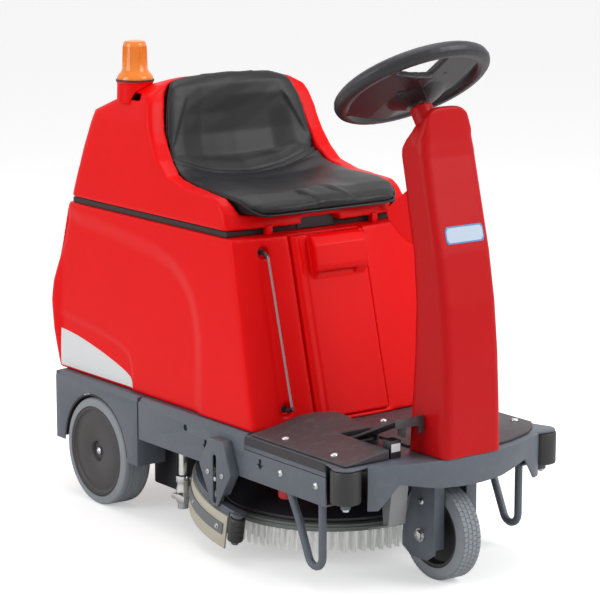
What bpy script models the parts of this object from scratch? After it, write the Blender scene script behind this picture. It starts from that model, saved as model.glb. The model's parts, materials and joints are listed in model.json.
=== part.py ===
"""Ride-on floor scrubber, built as an assembly of separate pieces.

Metres, +Z up, the ground at Z = 0. The machine drives towards -Y and its right side is -X.
While the pieces are made, Y is a station that grows from the front bumper to the rear. At the end
everything moves by -MIDDLE, so that the origin lies under the centre of the machine.
Each moving piece has its object origin on its joint's axis.
"""

from math import asin, atan2, cos, exp, pi, radians, sin, tan

import bmesh
import bpy
from mathutils import Matrix, Vector

for old in list(bpy.data.objects):
    bpy.data.objects.remove(old, do_unlink=True)

# ---------------------------------------------------------------- driving dimensions
GAP = 0.0004  # clearance between pieces that touch
SIDES = (("right", -1), ("left", 1))

# chassis
RAIL_X = 0.295  # outer face of a side rail, half of the machine's width
RAIL_T = 0.004
RAIL_LOW = 0.203
RAIL_BEVEL_Z = 0.292
RAIL_BEVEL = 0.011
RAIL_FLANGE = 0.045
RAIL_LIP = 0.030
RAIL_FRONT, RAIL_REAR = 0.018, 0.745
BED_Z = 0.3035  # top of the rails' flanges, which carry the tank
FLOOR_Z = 0.300  # top of the front floor plate
FLOOR_T = 0.004
FLOOR_REAR = 0.3157
LIP_LOW = 0.2695
BUMPER_FRONT = -0.122
BUMPER_T = 0.006
BUMPER_END = (0.243, -0.062)
BEAM_X = (0.185, 0.215)
BEAM_LOW = 0.243
BEAM_REAR = 1.100
CROSS_Y = ((0.565, 0.605), (0.700, 0.740), (1.070, BEAM_REAR))
HOUSING_REAR = 1.118
HOUSING_LOW = 0.134

GUARD_Y = (0.158, 0.045)  # where a foot guard's two legs pass through the rail
GUARD_R = 0.009

# wheels
REAR_AXLE = (0.938, 0.132)  # station and height
REAR_R, REAR_W = 0.132, 0.077
REAR_RIM_R = 0.111
AXLE_R = 0.010
FRONT_AXLE = (-0.016, 0.108)
FRONT_R, FRONT_W = 0.108, 0.050
FRONT_RIM_R = 0.080
KINGPIN_Y = -0.048
ROLLER = (0.279, -0.032)
ROLLER_R = 0.033
ROLLER_Z = (0.2215, 0.2950)

# lower tank
BODY_X = 0.280  # half width at the foot
BODY_LOW = BED_Z + GAP
BODY_TOP = 0.7235
FRONT_LOW, FRONT_TOP = 0.278, 0.385  # stations of the front face's middle at its foot and at its head
FRONT_BOW = 0.025  # how far the front face's sides lie behind its middle
BODY_REAR = 1.1885
TANK = (  # height, rear station, half width
    (BODY_LOW, 1.155, BODY_X),
    (0.400, 1.178, 0.2760),
    (0.470, BODY_REAR, 0.2730),
    (0.515, 1.183, 0.2710),
    (0.610, 1.149, 0.2670),
    (0.705, 1.122, 0.2630),
    (BODY_TOP, 1.112, 0.2620),
)
BATTERY = ((-0.240, 0.470, 0.3455), (0.240, 1.005, 0.610))
BATTERY_SLACK = 0.004
GASKET_TOP = 0.7375

# hood
HOOD_LOW = GASKET_TOP + 0.0020
HOOD_REAR = 1.100
HOOD = (  # height, front station at the sides, rear station, half width
    (HOOD_LOW, 0.4300, HOOD_REAR, 0.2620),
    (0.7770, 0.4400, 1.0865, 0.2605),
    (0.7950, 0.4550, 1.0800, 0.2595),
    (0.8090, 0.4770, 1.0745, 0.2590),
    (0.8140, 0.5400, 1.0725, 0.2585),
    (0.8190, 0.6070, 1.0705, 0.2580),
    (0.8350, 0.6730, 1.0645, 0.2575),
    (0.8660, 0.7120, 1.0525, 0.2560),
    (0.9020, 0.7380, 1.0390, 0.2520),
    (0.9320, 0.7540, 1.0275, 0.2490),
    (0.9580, 0.7620, 1.0150, 0.2455),
    (0.9920, 0.7735, 0.9300, 0.2360),
    (1.0110, 0.7845, 0.8850, 0.2280),
    (1.0300, 0.7900, 0.8480, 0.1900),
    (1.0400, 0.7950, 0.8280, 0.1500),
    (1.0450, 0.7980, 0.8160, 0.1200),
)
HOOD_BOW = 0.022
WALL = 0.008

# seat
# the pad: its edge's station and height, half width, rise beside the edge, rise of the middle,
# and its underside's station and height
SEAT = (
    (0.3860, 0.7790, 0.160, 0.006, 0.005, 0.3935, 0.7690),
    (0.3920, 0.7800, 0.188, 0.014, 0.016, 0.4010, 0.7685),
    (0.4100, 0.7920, 0.208, 0.014, 0.018, 0.4190, 0.7700),
    (0.4400, 0.8080, 0.220, 0.010, 0.012, 0.4450, 0.7730),
    (0.4900, 0.8160, 0.227, 0.009, 0.002, 0.4900, 0.7780),
    (0.5870, 0.8220, 0.216, 0.008, -0.008, 0.5920, 0.7840),
    (0.6460, 0.8270, 0.218, 0.006, -0.014, 0.6600, 0.7930),
    (0.6920, 0.8400, 0.212, 0.005, -0.019, 0.7150, 0.8080),
    (0.7300, 0.8710, 0.206, 0.006, -0.024, 0.7640, 0.8460),
    (0.7445, 0.9170, 0.203, 0.008, -0.022, 0.7850, 0.9080),
    (0.7560, 0.9640, 0.195, 0.008, -0.014, 0.7960, 0.9560),
    (0.7650, 0.9990, 0.186, 0.007, -0.004, 0.8020, 0.9880),
    (0.7750, 1.0270, 0.174, 0.006, 0.004, 0.8060, 1.0080),
    (0.7860, 1.0375, 0.160, 0.006, 0.010, 0.8070, 1.0200),
    (0.7970, 1.0455, 0.136, 0.006, 0.013, 0.8080, 1.0320),
)
SEAT_BESIDE = 0.0030  # gap between the pad and the sides of its well
SEAT_BELOW = 0.0010

# steering
WHEEL_CENTRE = (0.098, 1.084)
WHEEL_R = 0.1605
RIM_TUBE = 0.018
WHEEL_TILT = radians(32)
SHAFT_R = 0.0085

# scrub head
BRUSH_Y = 0.385
BRUSH_R = 0.255
BRISTLE_TIP_R = 0.268
BRISTLE_LOW = 0.033
BLOCK_LOW, BLOCK_TOP = 0.083, 0.1005
DECK_R = 0.245
DECK_LOW, DECK_TOP = 0.106, 0.150
DECK_WALL = 0.006
MOTOR_R = 0.062
GUIDE = (0.130, 0.580)  # the two rods on which the head rises and falls
GUIDE_R = 0.008

# squeegee, described level and then tilted about the hanger pins
SQUEEGEE_AXIS = (0.397, 0.146)
SQUEEGEE_TILT = radians(11)
CARRIER_R = (0.292, 0.314)
CARRIER_Z = (0.128, 0.135)
BLADE_T = 0.005
BLADE_Z = (0.038, 0.118)
SQUEEGEE_END = 0.345  # station of the blade's two ends
PORT_R = 0.0145
BRACKET_X = 0.320
BRACKET_Y = 0.396

# pedal
PEDAL_X = (-0.1610, -0.0850)
PEDAL_HEEL = (0.115, 0.3115)
PEDAL_TOE = (-0.052, 0.389)

MIDDLE = (BODY_REAR + FRONT_AXLE[0] - FRONT_R) / 2

# ---------------------------------------------------------------- materials
PALETTE = {
    "red": ((0.72, 0.02, 0.02), 0.35, 0.0),
    "column_red": ((0.60, 0.03, 0.03), 0.35, 0.0),
    "steel_paint": ((0.10, 0.12, 0.14), 0.45, 0.1),
    "black_plastic": ((0.03, 0.03, 0.03), 0.55, 0.0),
    "rubber": ((0.33, 0.36, 0.38), 0.75, 0.0),
    "dark_rubber": ((0.05, 0.05, 0.05), 0.8, 0.0),
    "mat": ((0.09, 0.07, 0.075), 0.8, 0.0),
    "vinyl": ((0.03, 0.03, 0.035), 0.5, 0.0),
    "amber": ((0.90, 0.28, 0.02), 0.2, 0.0),
    "metal": ((0.60, 0.60, 0.60), 0.3, 1.0),
    "grey_plastic": ((0.20, 0.22, 0.22), 0.5, 0.0),
    "bristle": ((0.85, 0.85, 0.85), 0.7, 0.0),
    "gum": ((0.58, 0.55, 0.46), 0.7, 0.0),
    "clear": ((0.80, 0.80, 0.80), 0.1, 0.0),
}


def material_of(obj, key):
    colour, roughness, metallic = PALETTE[key]
    material = bpy.data.materials.new(f"{obj.name}_{key}")
    material.use_nodes = True
    shader = material.node_tree.nodes["Principled BSDF"]
    shader.inputs["Base Color"].default_value = (*colour, 1.0)
    shader.inputs["Roughness"].default_value = roughness
    shader.inputs["Metallic"].default_value = metallic
    obj.data.materials.clear()
    obj.data.materials.append(material)


# ---------------------------------------------------------------- shape tools
def add_object(name, bm):
    """An object from a closed bmesh, with its faces turned outwards."""
    bmesh.ops.recalc_face_normals(bm, faces=bm.faces)
    mesh = bpy.data.meshes.new(name)
    bm.to_mesh(mesh)
    bm.free()
    obj = bpy.data.objects.new(name, mesh)
    bpy.context.scene.collection.objects.link(obj)
    return obj


def box(name, low, high):
    bm = bmesh.new()
    bmesh.ops.create_cube(bm, size=1.0)
    size = [h - l for l, h in zip(low, high)]
    centre = [(h + l) / 2 for l, h in zip(low, high)]
    for vert in bm.verts:
        vert.co = Vector([c + s * v for c, s, v in zip(centre, size, vert.co)])
    return add_object(name, bm)


def prism(name, outline, axis, start, end):
    """An outline in the plane across axis, extruded from start to end along it."""
    place = {
        "X": lambda a, b, h: (h, a, b),
        "Y": lambda a, b, h: (a, h, b),
        "Z": lambda a, b, h: (a, b, h),
    }[axis]
    bm = bmesh.new()
    face = bm.faces.new([bm.verts.new(place(a, b, start)) for a, b in outline])
    top = bmesh.ops.extrude_face_region(bm, geom=[face])["geom"]
    shift = Vector(place(0, 0, end - start))
    for vert in (v for v in top if isinstance(v, bmesh.types.BMVert)):
        vert.co += shift
    return add_object(name, bm)


def turned(name, profile, centre=(0, 0, 0), axis=(0, 0, 1), steps=24, on_flats=False):
    """A closed (radius, height) outline turned about an axis through centre.

    With on_flats, the radii are measured to the middles of the flats, and the lowest side is a flat.
    """
    wider = 1 / cos(pi / steps) if on_flats else 1.0
    start = 0.5 if on_flats else 0.0
    turn = Vector((0, 0, 1)).rotation_difference(Vector(axis)).to_matrix()
    centre = Vector(centre)
    bm = bmesh.new()
    rings = []
    for radius, height in profile:
        ring = []
        for k in range(1 if radius < 1e-9 else steps):
            angle = 2 * pi * (k + start) / steps
            place = Vector((wider * radius * cos(angle), wider * radius * sin(angle), height))
            ring.append(bm.verts.new(centre + turn @ place))
        rings.append(ring)
    on_axis = len(rings[0]) == 1 and len(rings[-1]) == 1
    pairs = list(zip(rings, rings[1:])) + ([] if on_axis else [(rings[-1], rings[0])])
    for low, high in pairs:
        for k in range(steps):
            corners = [
                low[k % len(low)], low[(k + 1) % len(low)], high[(k + 1) % len(high)], high[k % len(high)]
            ]
            corners = list(dict.fromkeys(corners))
            if len(corners) > 2:
                bm.faces.new(corners)
    return add_object(name, bm)


def rod(name, start, end, radius, steps=16):
    start, end = Vector(start), Vector(end)
    length = (end - start).length
    profile = [(0, 0), (radius, 0), (radius, length), (0, length)]
    return turned(name, profile, start, (end - start).normalized(), steps)


def tube(name, points, radius, steps=8):
    """A round bar along a line of points, with flat ends."""
    points = [Vector(p) for p in points]
    bm = bmesh.new()
    side = Vector((1, 0, 0))
    if abs((points[1] - points[0]).normalized().x) > 0.9:
        side = Vector((0, 1, 0))
    rings = []
    for i, point in enumerate(points):
        ahead = points[min(i + 1, len(points) - 1)] - points[max(i - 1, 0)]
        ahead.normalize()
        side = (side - ahead * side.dot(ahead)).normalized()
        other = ahead.cross(side)
        rings.append(
            [
                bm.verts.new(
                    point + radius * (side * cos(2 * pi * k / steps) + other * sin(2 * pi * k / steps))
                )
                for k in range(steps)
            ]
        )
    skin(bm, rings)
    return add_object(name, bm)


def skin(bm, rings):
    """Quads between neighbouring rings, with a face over each end."""
    count = len(rings[0])
    for low, high in zip(rings, rings[1:]):
        for k in range(count):
            bm.faces.new([low[k], low[(k + 1) % count], high[(k + 1) % count], high[k]])
    bm.faces.new(rings[0][::-1])
    bm.faces.new(rings[-1])


def loft(name, sections):
    """A solid through sections, each a list of points of the same length."""
    bm = bmesh.new()
    skin(bm, [[bm.verts.new(p) for p in section] for section in sections])
    return add_object(name, bm)


def arc(centre, radius, start, end, count):
    """Points on an arc in a plane, angles in radians."""
    return [
        (
            centre[0] + radius * cos(start + (end - start) * k / count),
            centre[1] + radius * sin(start + (end - start) * k / count),
        )
        for k in range(count + 1)
    ]


def boolean(obj, other, operation):
    modifier = obj.modifiers.new(operation.title(), "BOOLEAN")
    modifier.operation = operation
    modifier.object = other
    graph = bpy.context.evaluated_depsgraph_get()
    result = bpy.data.meshes.new_from_object(obj.evaluated_get(graph))
    obj.modifiers.clear()
    obj.data = result
    bpy.data.objects.remove(other, do_unlink=True)
    return obj


def join(obj, *others):
    for other in others:
        boolean(obj, other, "UNION")
    return obj


def cut(obj, *others):
    for other in others:
        boolean(obj, other, "DIFFERENCE")
    return obj


def tilt(obj, angle, station, height):
    """Turn about a line along X; a positive angle raises what lies behind the line."""
    turn = Matrix.Translation((0, station, height)) @ Matrix.Rotation(angle, 4, "X")
    obj.data.transform(turn @ Matrix.Translation((0, -station, -height)))
    return obj


def finish(obj, name, key, pivot=(0, 0, 0), smooth=35):
    """Name and colour a piece, and put its origin at pivot."""
    obj.name = name
    obj.data.name = name
    obj.data.transform(Matrix.Translation(-Vector(pivot)))
    obj.location = Vector(pivot)
    obj.data.shade_smooth()
    obj.data.set_sharp_from_angle(angle=radians(smooth))
    material_of(obj, key)
    return obj


def mirrored(points):
    """The points of one side followed by their mirror images across X = 0."""
    return points + [(-x, y) for x, y in reversed(points)]


def plan_section(height, front, rear, half, bow, front_r=0.012, rear_r=0.030):
    """A level outline with a front edge bowed forwards, as bow / BODY_X squared, and rounded corners."""
    front_r = min(front_r, (rear - front) * 0.4)
    rear_r = min(rear_r, (rear - front) * 0.4)
    inside = half - front_r
    edge = [(inside * k / 4, front + bow * (inside * k / 4 / BODY_X) ** 2) for k in range(1, 5)]
    edge += arc((inside, edge[-1][1] + front_r), front_r, radians(-60), 0, 2)
    edge += arc((half - rear_r, rear - rear_r), rear_r, 0, pi / 2, 4)
    return [(x, y, height) for x, y in mirrored(edge)]


# ---------------------------------------------------------------- chassis
def bumper_circle():
    """Centre station and outer radius of the bumper's arc, from its middle and its ends."""
    half, end = BUMPER_END
    sag = end - BUMPER_FRONT
    radius = (half**2 + sag**2) / (2 * sag)
    return BUMPER_FRONT + radius, radius


def rail(side):
    """A C-section rail with a bevelled shoulder, a lifting hole and two arrow cut-outs."""
    outer, inner = RAIL_X, RAIL_X - RAIL_T
    outline = [
        (outer, RAIL_LOW),
        (outer, RAIL_BEVEL_Z),
        (outer - RAIL_BEVEL, BED_Z),
        (outer - RAIL_FLANGE, BED_Z),
        (outer - RAIL_FLANGE, BED_Z - RAIL_T),
        (outer - RAIL_BEVEL - RAIL_T / 3, BED_Z - RAIL_T),
        (inner, RAIL_BEVEL_Z - RAIL_T / 3),
        (inner, RAIL_LOW + RAIL_T),
        (outer - RAIL_LIP, RAIL_LOW + RAIL_T),
        (outer - RAIL_LIP, RAIL_LOW),
    ]
    body = prism("rail", [(side * x, z) for x, z in outline], "Y", RAIL_FRONT, RAIL_REAR)
    cut(
        body,
        box("step", (-1, RAIL_FRONT - 0.01, LIP_LOW - 0.0015), (1, FLOOR_REAR + 0.0008, 0.4)),
        rod("hole", (side * 0.28, 0.548, 0.271), (side * 0.31, 0.548, 0.271), 0.008),
    )
    x = side * (RAIL_X - RAIL_T - GAP - GUARD_R)
    for y in GUARD_Y:
        cut(body, rod("leg", (x, y, RAIL_LOW - 0.01), (x, y, RAIL_LOW + 0.01), GUARD_R + GAP * 2, 12))
    for station in (0.467, 0.256):
        arrow = [
            (0.005, 0.012),
            (0.005, 0.0),
            (0.012, 0.0),
            (0, -0.012),
            (-0.012, 0.0),
            (-0.005, 0.0),
            (-0.005, 0.012),
        ]
        outline = [(station + y, 0.2465 + z) for y, z in arrow]
        cut(body, prism("arrow", outline, "X", side * 0.28, side * 0.31))
    return body


def front_bumper():
    centre, radius = bumper_circle()
    half = asin(BUMPER_END[0] / radius)
    outer = arc((0, centre), radius, -pi / 2 - half, -pi / 2 + half, 20)
    inner = arc((0, centre), radius - BUMPER_T, -pi / 2 + half, -pi / 2 - half, 20)
    plate = prism("bumper", outer + inner, "Z", RAIL_LOW, FLOOR_Z + 0.0003)
    under = [(-0.232, 0.190), (-0.178, 0.257), (-0.090, 0.240), (-0.030, 0.237)]
    return cut(plate, prism("under", mirrored(under), "Y", -0.2, 0.0))


def floor_plate():
    """The front floor: a plate with folded side lips, tabs over the corner rollers and the pedal's lugs."""
    centre, radius = bumper_circle()
    edge = radius - BUMPER_T - GAP
    reach = asin(BUMPER_END[0] / edge)
    front = arc((0, centre), edge, -pi / 2 - reach, -pi / 2, 8)
    tab = arc((-ROLLER[0], ROLLER[1]), 0.030, radians(145), radians(265), 6)
    right = [(-RAIL_X, FLOOR_REAR), (-RAIL_X, 0.010)] + tab + front
    left = [(-x, y) for x, y in reversed(right[:-1])]
    plate = prism("floor", right + left, "Z", FLOOR_Z - FLOOR_T, FLOOR_Z)
    cut(plate, rod("well", (0, KINGPIN_Y, 0.28), (0, KINGPIN_Y, 0.32), 0.046, 24))
    housing = [(0.0460, 0.2645), (0.0640, 0.2645), (0.0640, 0.2980), (0.0460, 0.2980)]
    join(plate, turned("bearing", housing, (0, KINGPIN_Y, 0)))
    for _, side in SIDES:
        lip = box("lip", (RAIL_X - 0.003, 0.018, LIP_LOW), (RAIL_X, FLOOR_REAR, FLOOR_Z - 0.001))
        if side < 0:
            lip.data.transform(Matrix.Scale(-1, 4, (1, 0, 0)))
            lip.data.flip_normals()
        pin = [(0, 0.208), (0.011, 0.208), (0.011, 0.2165), (0.0055, 0.2165), (0.0055, 0.2975), (0, 0.2975)]
        join(plate, lip, turned("pin", pin, (side * ROLLER[0], ROLLER[1], 0), steps=12))
    heel_y, heel_z = PEDAL_HEEL
    for x in (PEDAL_X[0] - 0.0065, PEDAL_X[1] + 0.0010):
        join(
            plate,
            box("lug", (x, heel_y - 0.008, FLOOR_Z - 0.002), (x + 0.0055, heel_y + 0.010, heel_z + 0.008)),
        )
    return plate


def subframe():
    """The inner ladder that joins the rails, with the rear axle and the scrub head's guide plate."""
    frame = box("beam", (-BEAM_X[1], FLOOR_REAR + 0.0008, BEAM_LOW), (-BEAM_X[0], BEAM_REAR, BED_Z))
    join(frame, box("beam", (BEAM_X[0], FLOOR_REAR + 0.0008, BEAM_LOW), (BEAM_X[1], BEAM_REAR, BED_Z)))
    reach = RAIL_X - RAIL_FLANGE - GAP
    for low, high in CROSS_Y:
        wide = reach if high < RAIL_REAR else BEAM_X[1] - 0.002
        join(frame, box("cross", (-wide, low, 0.2720), (wide, high, BED_Z)))
    guide = box("guide", (-BEAM_X[1] + 0.004, 0.562, 0.2355), (BEAM_X[1] - 0.004, 0.608, 0.2440))
    join(frame, guide)
    for _, side in SIDES:
        x, y = side * GUIDE[0], GUIDE[1]
        cut(frame, rod("bush", (x, y, 0.22), (x, y, 0.32), GUIDE_R + 0.0015, 12))
        cheek = [(0.895, 0.25), (0.915, 0.112), (0.961, 0.112), (0.981, 0.25)]
        inside, outside = sorted((side * 0.190, side * 0.200))
        join(frame, prism("cheek", cheek, "X", inside, outside))
    y, z = REAR_AXLE
    return join(frame, rod("axle", (-0.286, y, z), (0.286, y, z), AXLE_R, 16))


def wheel_housing(side):
    """A skirt with an arch over the rear wheel."""
    y, z = REAR_AXLE
    outer, inner = RAIL_X, BEAM_X[1] + GAP
    front, rear, low = RAIL_REAR + 0.007, HOUSING_REAR, HOUSING_LOW
    shoulder = [
        (outer, low),
        (outer, RAIL_BEVEL_Z),
        (outer - RAIL_BEVEL, BED_Z),
        (inner, BED_Z),
        (inner, BED_Z - 0.003),
        (outer - RAIL_BEVEL - 0.001, BED_Z - 0.003),
        (outer - 0.003, RAIL_BEVEL_Z - 0.001),
        (outer - 0.003, low),
    ]
    skirt = prism("skirt", [(side * x, h) for x, h in shoulder], "Y", front, rear)
    for low_y, high_y in ((front, front + 0.003), (rear - 0.003, rear)):
        near, far = sorted((side * inner, side * (outer - 0.0015)))
        join(skirt, box("end", (near, low_y, low), (far, high_y, BED_Z - 0.0015)))
    arch = arc((y, z), REAR_R + 0.010, 0, pi, 16) + [(y - REAR_R - 0.010, 0.1), (y + REAR_R + 0.010, 0.1)]
    return cut(skirt, prism("arch", arch, "X", side * 0.285, side * 0.31))


def squeegee_guide(side):
    """The tapered bracket whose slot guides the squeegee hanger."""
    y = BRACKET_Y
    outline = [
        (y - 0.032, 0.2785),
        (y + 0.022, 0.2785),
        (y + 0.061, 0.2120),
        (y + 0.051, 0.1930),
        (y + 0.012, 0.1235),
        (y - 0.010, 0.1235),
        (y - 0.062, 0.2070),
    ]
    near, far = sorted((side * (RAIL_X + GAP), side * BRACKET_X))
    shell = prism("shell", outline, "X", near, far)
    inner = [(y + (a - y) * 0.86, 0.205 + (b - 0.205) * 0.90) for a, b in outline]
    near, far = sorted((side * (RAIL_X - 0.01), side * (BRACKET_X - 0.004)))
    cut(shell, prism("hollow", inner, "X", near, far))
    open_low = [(-0.2, 0.10), (1.0, 0.10), (1.0, 0.152), (-0.2, 0.152)]
    cut(shell, prism("open", open_low, "X", near, far))
    slot_y, half = SQUEEGEE_AXIS[0], 0.007
    slot = arc((slot_y, 0.236), half, 0, pi, 8) + arc((slot_y, 0.137), half, pi, 2 * pi, 8)
    return cut(shell, prism("slot", slot, "X", side * 0.31, side * 0.33))


def foot_guard(side):
    """A bent bar under the rail in front of the scrub head."""
    x = side * (RAIL_X - RAIL_T - GAP - GUARD_R)
    rear, front = GUARD_Y
    low = arc((0.0705, 0.0820), 0.0255, radians(-22), radians(-180), 8)
    path = [(rear, 0.252), (rear, 0.198), (0.130, 0.150)] + low + [(front, 0.140), (front, 0.252)]
    return tube("bar", [(x, y, z) for y, z in path], GUARD_R, 10)


def tank_foot(x):
    """Station just in front of the tank's foot, at a distance from the middle."""
    return FRONT_LOW - 0.0018 + FRONT_BOW * (x / BODY_X) ** 2


def footrest_right():
    """The raised cover beside the pedal: a wedge with a mound, cut back behind so that the panel can tip."""
    xs = [-0.288, -0.250, -0.210, -0.168, -0.125, -0.080]
    ys = [-0.042, 0.040, 0.130, 0.180, 0.215, 0.250, 1.0]

    def height(x, y):
        wedge = 0.306 + 0.019 * min((x - xs[0]) / 0.120, 1.0)
        return wedge + 0.016 * exp(-(((x + 0.13) / 0.08) ** 2) - ((y - 0.245) / 0.06) ** 2)

    bm = bmesh.new()
    places = [[(x, min(y, tank_foot(x))) for x in xs] for y in ys]
    top = [[bm.verts.new((x, y, height(x, y))) for x, y in row] for row in places]
    low = [[bm.verts.new((x, y, FLOOR_Z + GAP)) for x, y in row] for row in places]
    for grid in (top, low):
        for j in range(len(ys) - 1):
            for i in range(len(xs) - 1):
                bm.faces.new([grid[j][i], grid[j][i + 1], grid[j + 1][i + 1], grid[j + 1][i]])
    rim = [(0, i) for i in range(len(xs))] + [(j, -1) for j in range(1, len(ys))]
    rim += [(-1, i) for i in range(len(xs) - 2, -1, -1)] + [(j, 0) for j in range(len(ys) - 2, 0, -1)]
    for (j, i), (jj, ii) in zip(rim, rim[1:] + rim[:1]):
        bm.faces.new([top[j][i], low[j][i], low[jj][ii], top[jj][ii]])
    cover = add_object("cover", bm)
    foot = FRONT_LOW - 0.003
    rise = 0.060
    swing = [
        (foot, 0.306),
        (foot - rise * tan(PANEL_SWING + radians(4)), 0.306 + rise),
        (0.35, 0.306 + rise),
        (0.35, 0.306),
    ]
    cut(cover, box("notch", (-0.168, -0.1, 0.29), (0.0, 0.130, 0.36)))
    return cut(cover, prism("swing", swing, "X", PANEL_MID - PANEL_X - 0.004, 0.0))


def footrest_mat_left():
    edge = [
        (-0.070, 0.014),
        (0.086, 0.014),
        (0.086, -0.090),
        (0.150, -0.078),
        (0.220, -0.052),
        (0.262, -0.020),
        (0.288, 0.012),
    ]
    edge += [(x, tank_foot(x)) for x in (0.288, 0.220, 0.150, 0.080, 0.0, -0.070)]
    return prism("mat", edge, "Z", FLOOR_Z + GAP, FLOOR_Z + 0.006)


def deck_bracket():
    """A cast aluminium gusset under the bumper's right end."""
    side = prism(
        "side",
        [(0.020, 0.2955), (0.020, 0.205), (0.014, 0.134), (-0.056, 0.157), (-0.072, 0.2955)],
        "X",
        -0.139,
        -0.135,
    )
    web = prism(
        "web", [(-0.072, 0.2955), (-0.056, 0.157), (-0.052, 0.157), (-0.068, 0.2955)], "X", -0.180, -0.1365
    )
    foot = prism(
        "foot", [(-0.056, 0.157), (0.014, 0.134), (0.014, 0.138), (-0.056, 0.161)], "X", -0.180, -0.1365
    )
    return join(side, web, foot)


def wheel_pieces(tyre_r, rim_r, width, bore, x_in):
    """Profiles of a tyre and of its dished rim, as (radius, distance along the axle)."""
    out = x_in + width
    corner = 0.10 * tyre_r
    tyre = [
        (rim_r + GAP, x_in),
        (tyre_r - corner, x_in),
        (tyre_r - corner * 0.3, x_in + corner * 0.3),
        (tyre_r, x_in + corner),
        (tyre_r, out - corner),
        (tyre_r - corner * 0.3, out - corner * 0.3),
        (tyre_r - corner, out),
        (rim_r + GAP, out),
    ]
    rim = [
        (bore, x_in + 0.004),
        (bore * 3, x_in + 0.004),
        (bore * 3, x_in + width * 0.42),
        (rim_r * 0.87, x_in + width * 0.42),
        (rim_r * 0.90, x_in + 0.002),
        (rim_r, x_in + 0.002),
        (rim_r, out - 0.002),
        (rim_r * 0.90, out - 0.002),
        (rim_r * 0.87, x_in + width * 0.62),
        (bore * 3, x_in + width * 0.62),
        (bore * 2.6, out - 0.008),
        (bore, out - 0.008),
    ]
    return tyre, rim


def steering_fork():
    """Two cheeks with inturned front flanges under a turntable plate."""
    cheek = [
        (0.010, 0.252),
        (0.010, 0.215),
        (0.045, 0.105),
        (0.045, 0.072),
        (0.014, 0.054),
        (-0.039, 0.055),
        (-0.064, 0.072),
        (-0.064, 0.252),
    ]
    half = [(0.030, -0.1020), (0.048, -0.0860), (0.060, -0.0640), (0.060, 0.010)]
    plate = prism("top", mirrored(half), "Z", 0.2465, 0.2520)
    for _, side in SIDES:
        near, far = sorted((side * 0.055, side * 0.060))
        join(plate, prism("cheek", cheek, "X", near, far))
        near, far = sorted((side * 0.032, side * 0.0595))
        join(
            plate,
            prism(
                "flange",
                [(-0.0640, 0.082), (-0.0590, 0.080), (-0.0590, 0.250), (-0.0640, 0.250)],
                "X",
                near,
                far,
            ),
        )
    y, z = FRONT_AXLE
    cut(plate, rod("bore", (-0.1, y, z), (0.1, y, z), 0.0066, 12))
    return join(plate, rod("turntable", (0, KINGPIN_Y, 0.2510), (0, KINGPIN_Y, 0.2620), 0.055, 24))


def front_axle():
    y, z = FRONT_AXLE
    bolt = rod("bolt", (-0.066, y, z), (0.066, y, z), 0.006, 12)
    for side in (-1, 1):
        washer = rod("washer", (side * (0.060 + GAP), y, z), (side * 0.0625, y, z), 0.0125, 16)
        join(bolt, washer, rod("head", (side * 0.062, y, z), (side * 0.0685, y, z), 0.0095, 6))
    return bolt


# ---------------------------------------------------------------- lower tank
def front_face(z):
    """Station of the middle of the tank's sloping front face at a height."""
    return FRONT_LOW + (FRONT_TOP - FRONT_LOW) * (z - BODY_LOW) / (BODY_TOP - BODY_LOW)


SIGHT_X = -0.187
SIGHT_Z = (0.345, 0.690)
SIGHT_BACK = FRONT_BOW * (SIGHT_X / BODY_X) ** 2  # how far the bowed face lies back at the tube
PANEL_MID = -0.012
PANEL_X = 0.1015
PANEL_Z = (0.316, 0.7205)
PANEL_DEPTH = 0.016
PANEL_SWING = radians(20)
GRIP = (-0.070, 0.078)  # left and right ends of the panel's grip
GRIP_SLOT = (-0.060, 0.046)


def tank_body():
    """The solution tank, with a pocket for the batteries, the panel's recess and the tube's two dishes."""
    body = loft("body", [plan_section(z, front_face(z), rear, half, FRONT_BOW) for z, rear, half in TANK])
    low, high = BATTERY
    slack = BATTERY_SLACK
    pocket_low = (low[0] - slack, low[1] - slack, low[2] - GAP)
    cut(body, box("pocket", pocket_low, (high[0] + slack, high[1] + slack, BODY_TOP + 0.1)))
    z_low, z_high = PANEL_Z[0] - 0.003, BODY_TOP + 0.010
    recess = [
        (front_face(z_low) - 0.05, z_low),
        (front_face(z_high) - 0.05, z_high),
        (front_face(z_high) + PANEL_DEPTH + 0.002, z_high),
        (front_face(z_low) + PANEL_DEPTH + 0.002, z_low),
    ]
    cut(body, prism("recess", recess, "X", PANEL_MID - PANEL_X - 0.003, PANEL_MID + PANEL_X + 0.003))
    for z in SIGHT_Z:
        y = front_face(z) + SIGHT_BACK
        cut(body, rod("dish", (SIGHT_X, y - 0.04, z), (SIGHT_X, y + 0.014, z), 0.014, 16))
    return body


def access_panel():
    """The front cover with its moulded grip; the fingers go up behind the grip's lower edge."""
    z_low, z_high = PANEL_Z
    face = front_face
    outline = [
        (face(z_low) - 0.001, z_low),
        (face(z_high) - 0.001, z_high),
        (face(z_high) + PANEL_DEPTH, z_high),
        (face(z_low) + PANEL_DEPTH, z_low),
    ]
    grip = [
        (face(0.620) + 0.001, 0.620),
        (face(0.643) - 0.021, 0.643),
        (face(0.652) - 0.0255, 0.652),
        (face(0.700) - 0.0265, 0.700),
        (face(0.716) - 0.018, 0.716),
        (face(z_high) - 0.004, z_high),
        (face(z_high) + 0.001, z_high),
    ]
    slot = [
        (face(z) - out, z)
        for z, out in ((0.605, 0.0155), (0.605, 0.0035), (0.678, 0.0035), (0.678, 0.0155))
    ]
    panel = prism("panel", outline, "X", PANEL_MID - PANEL_X, PANEL_MID + PANEL_X)
    join(panel, prism("grip", grip, "X", *GRIP))
    return cut(panel, prism("slot", slot, "X", *GRIP_SLOT))


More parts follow.
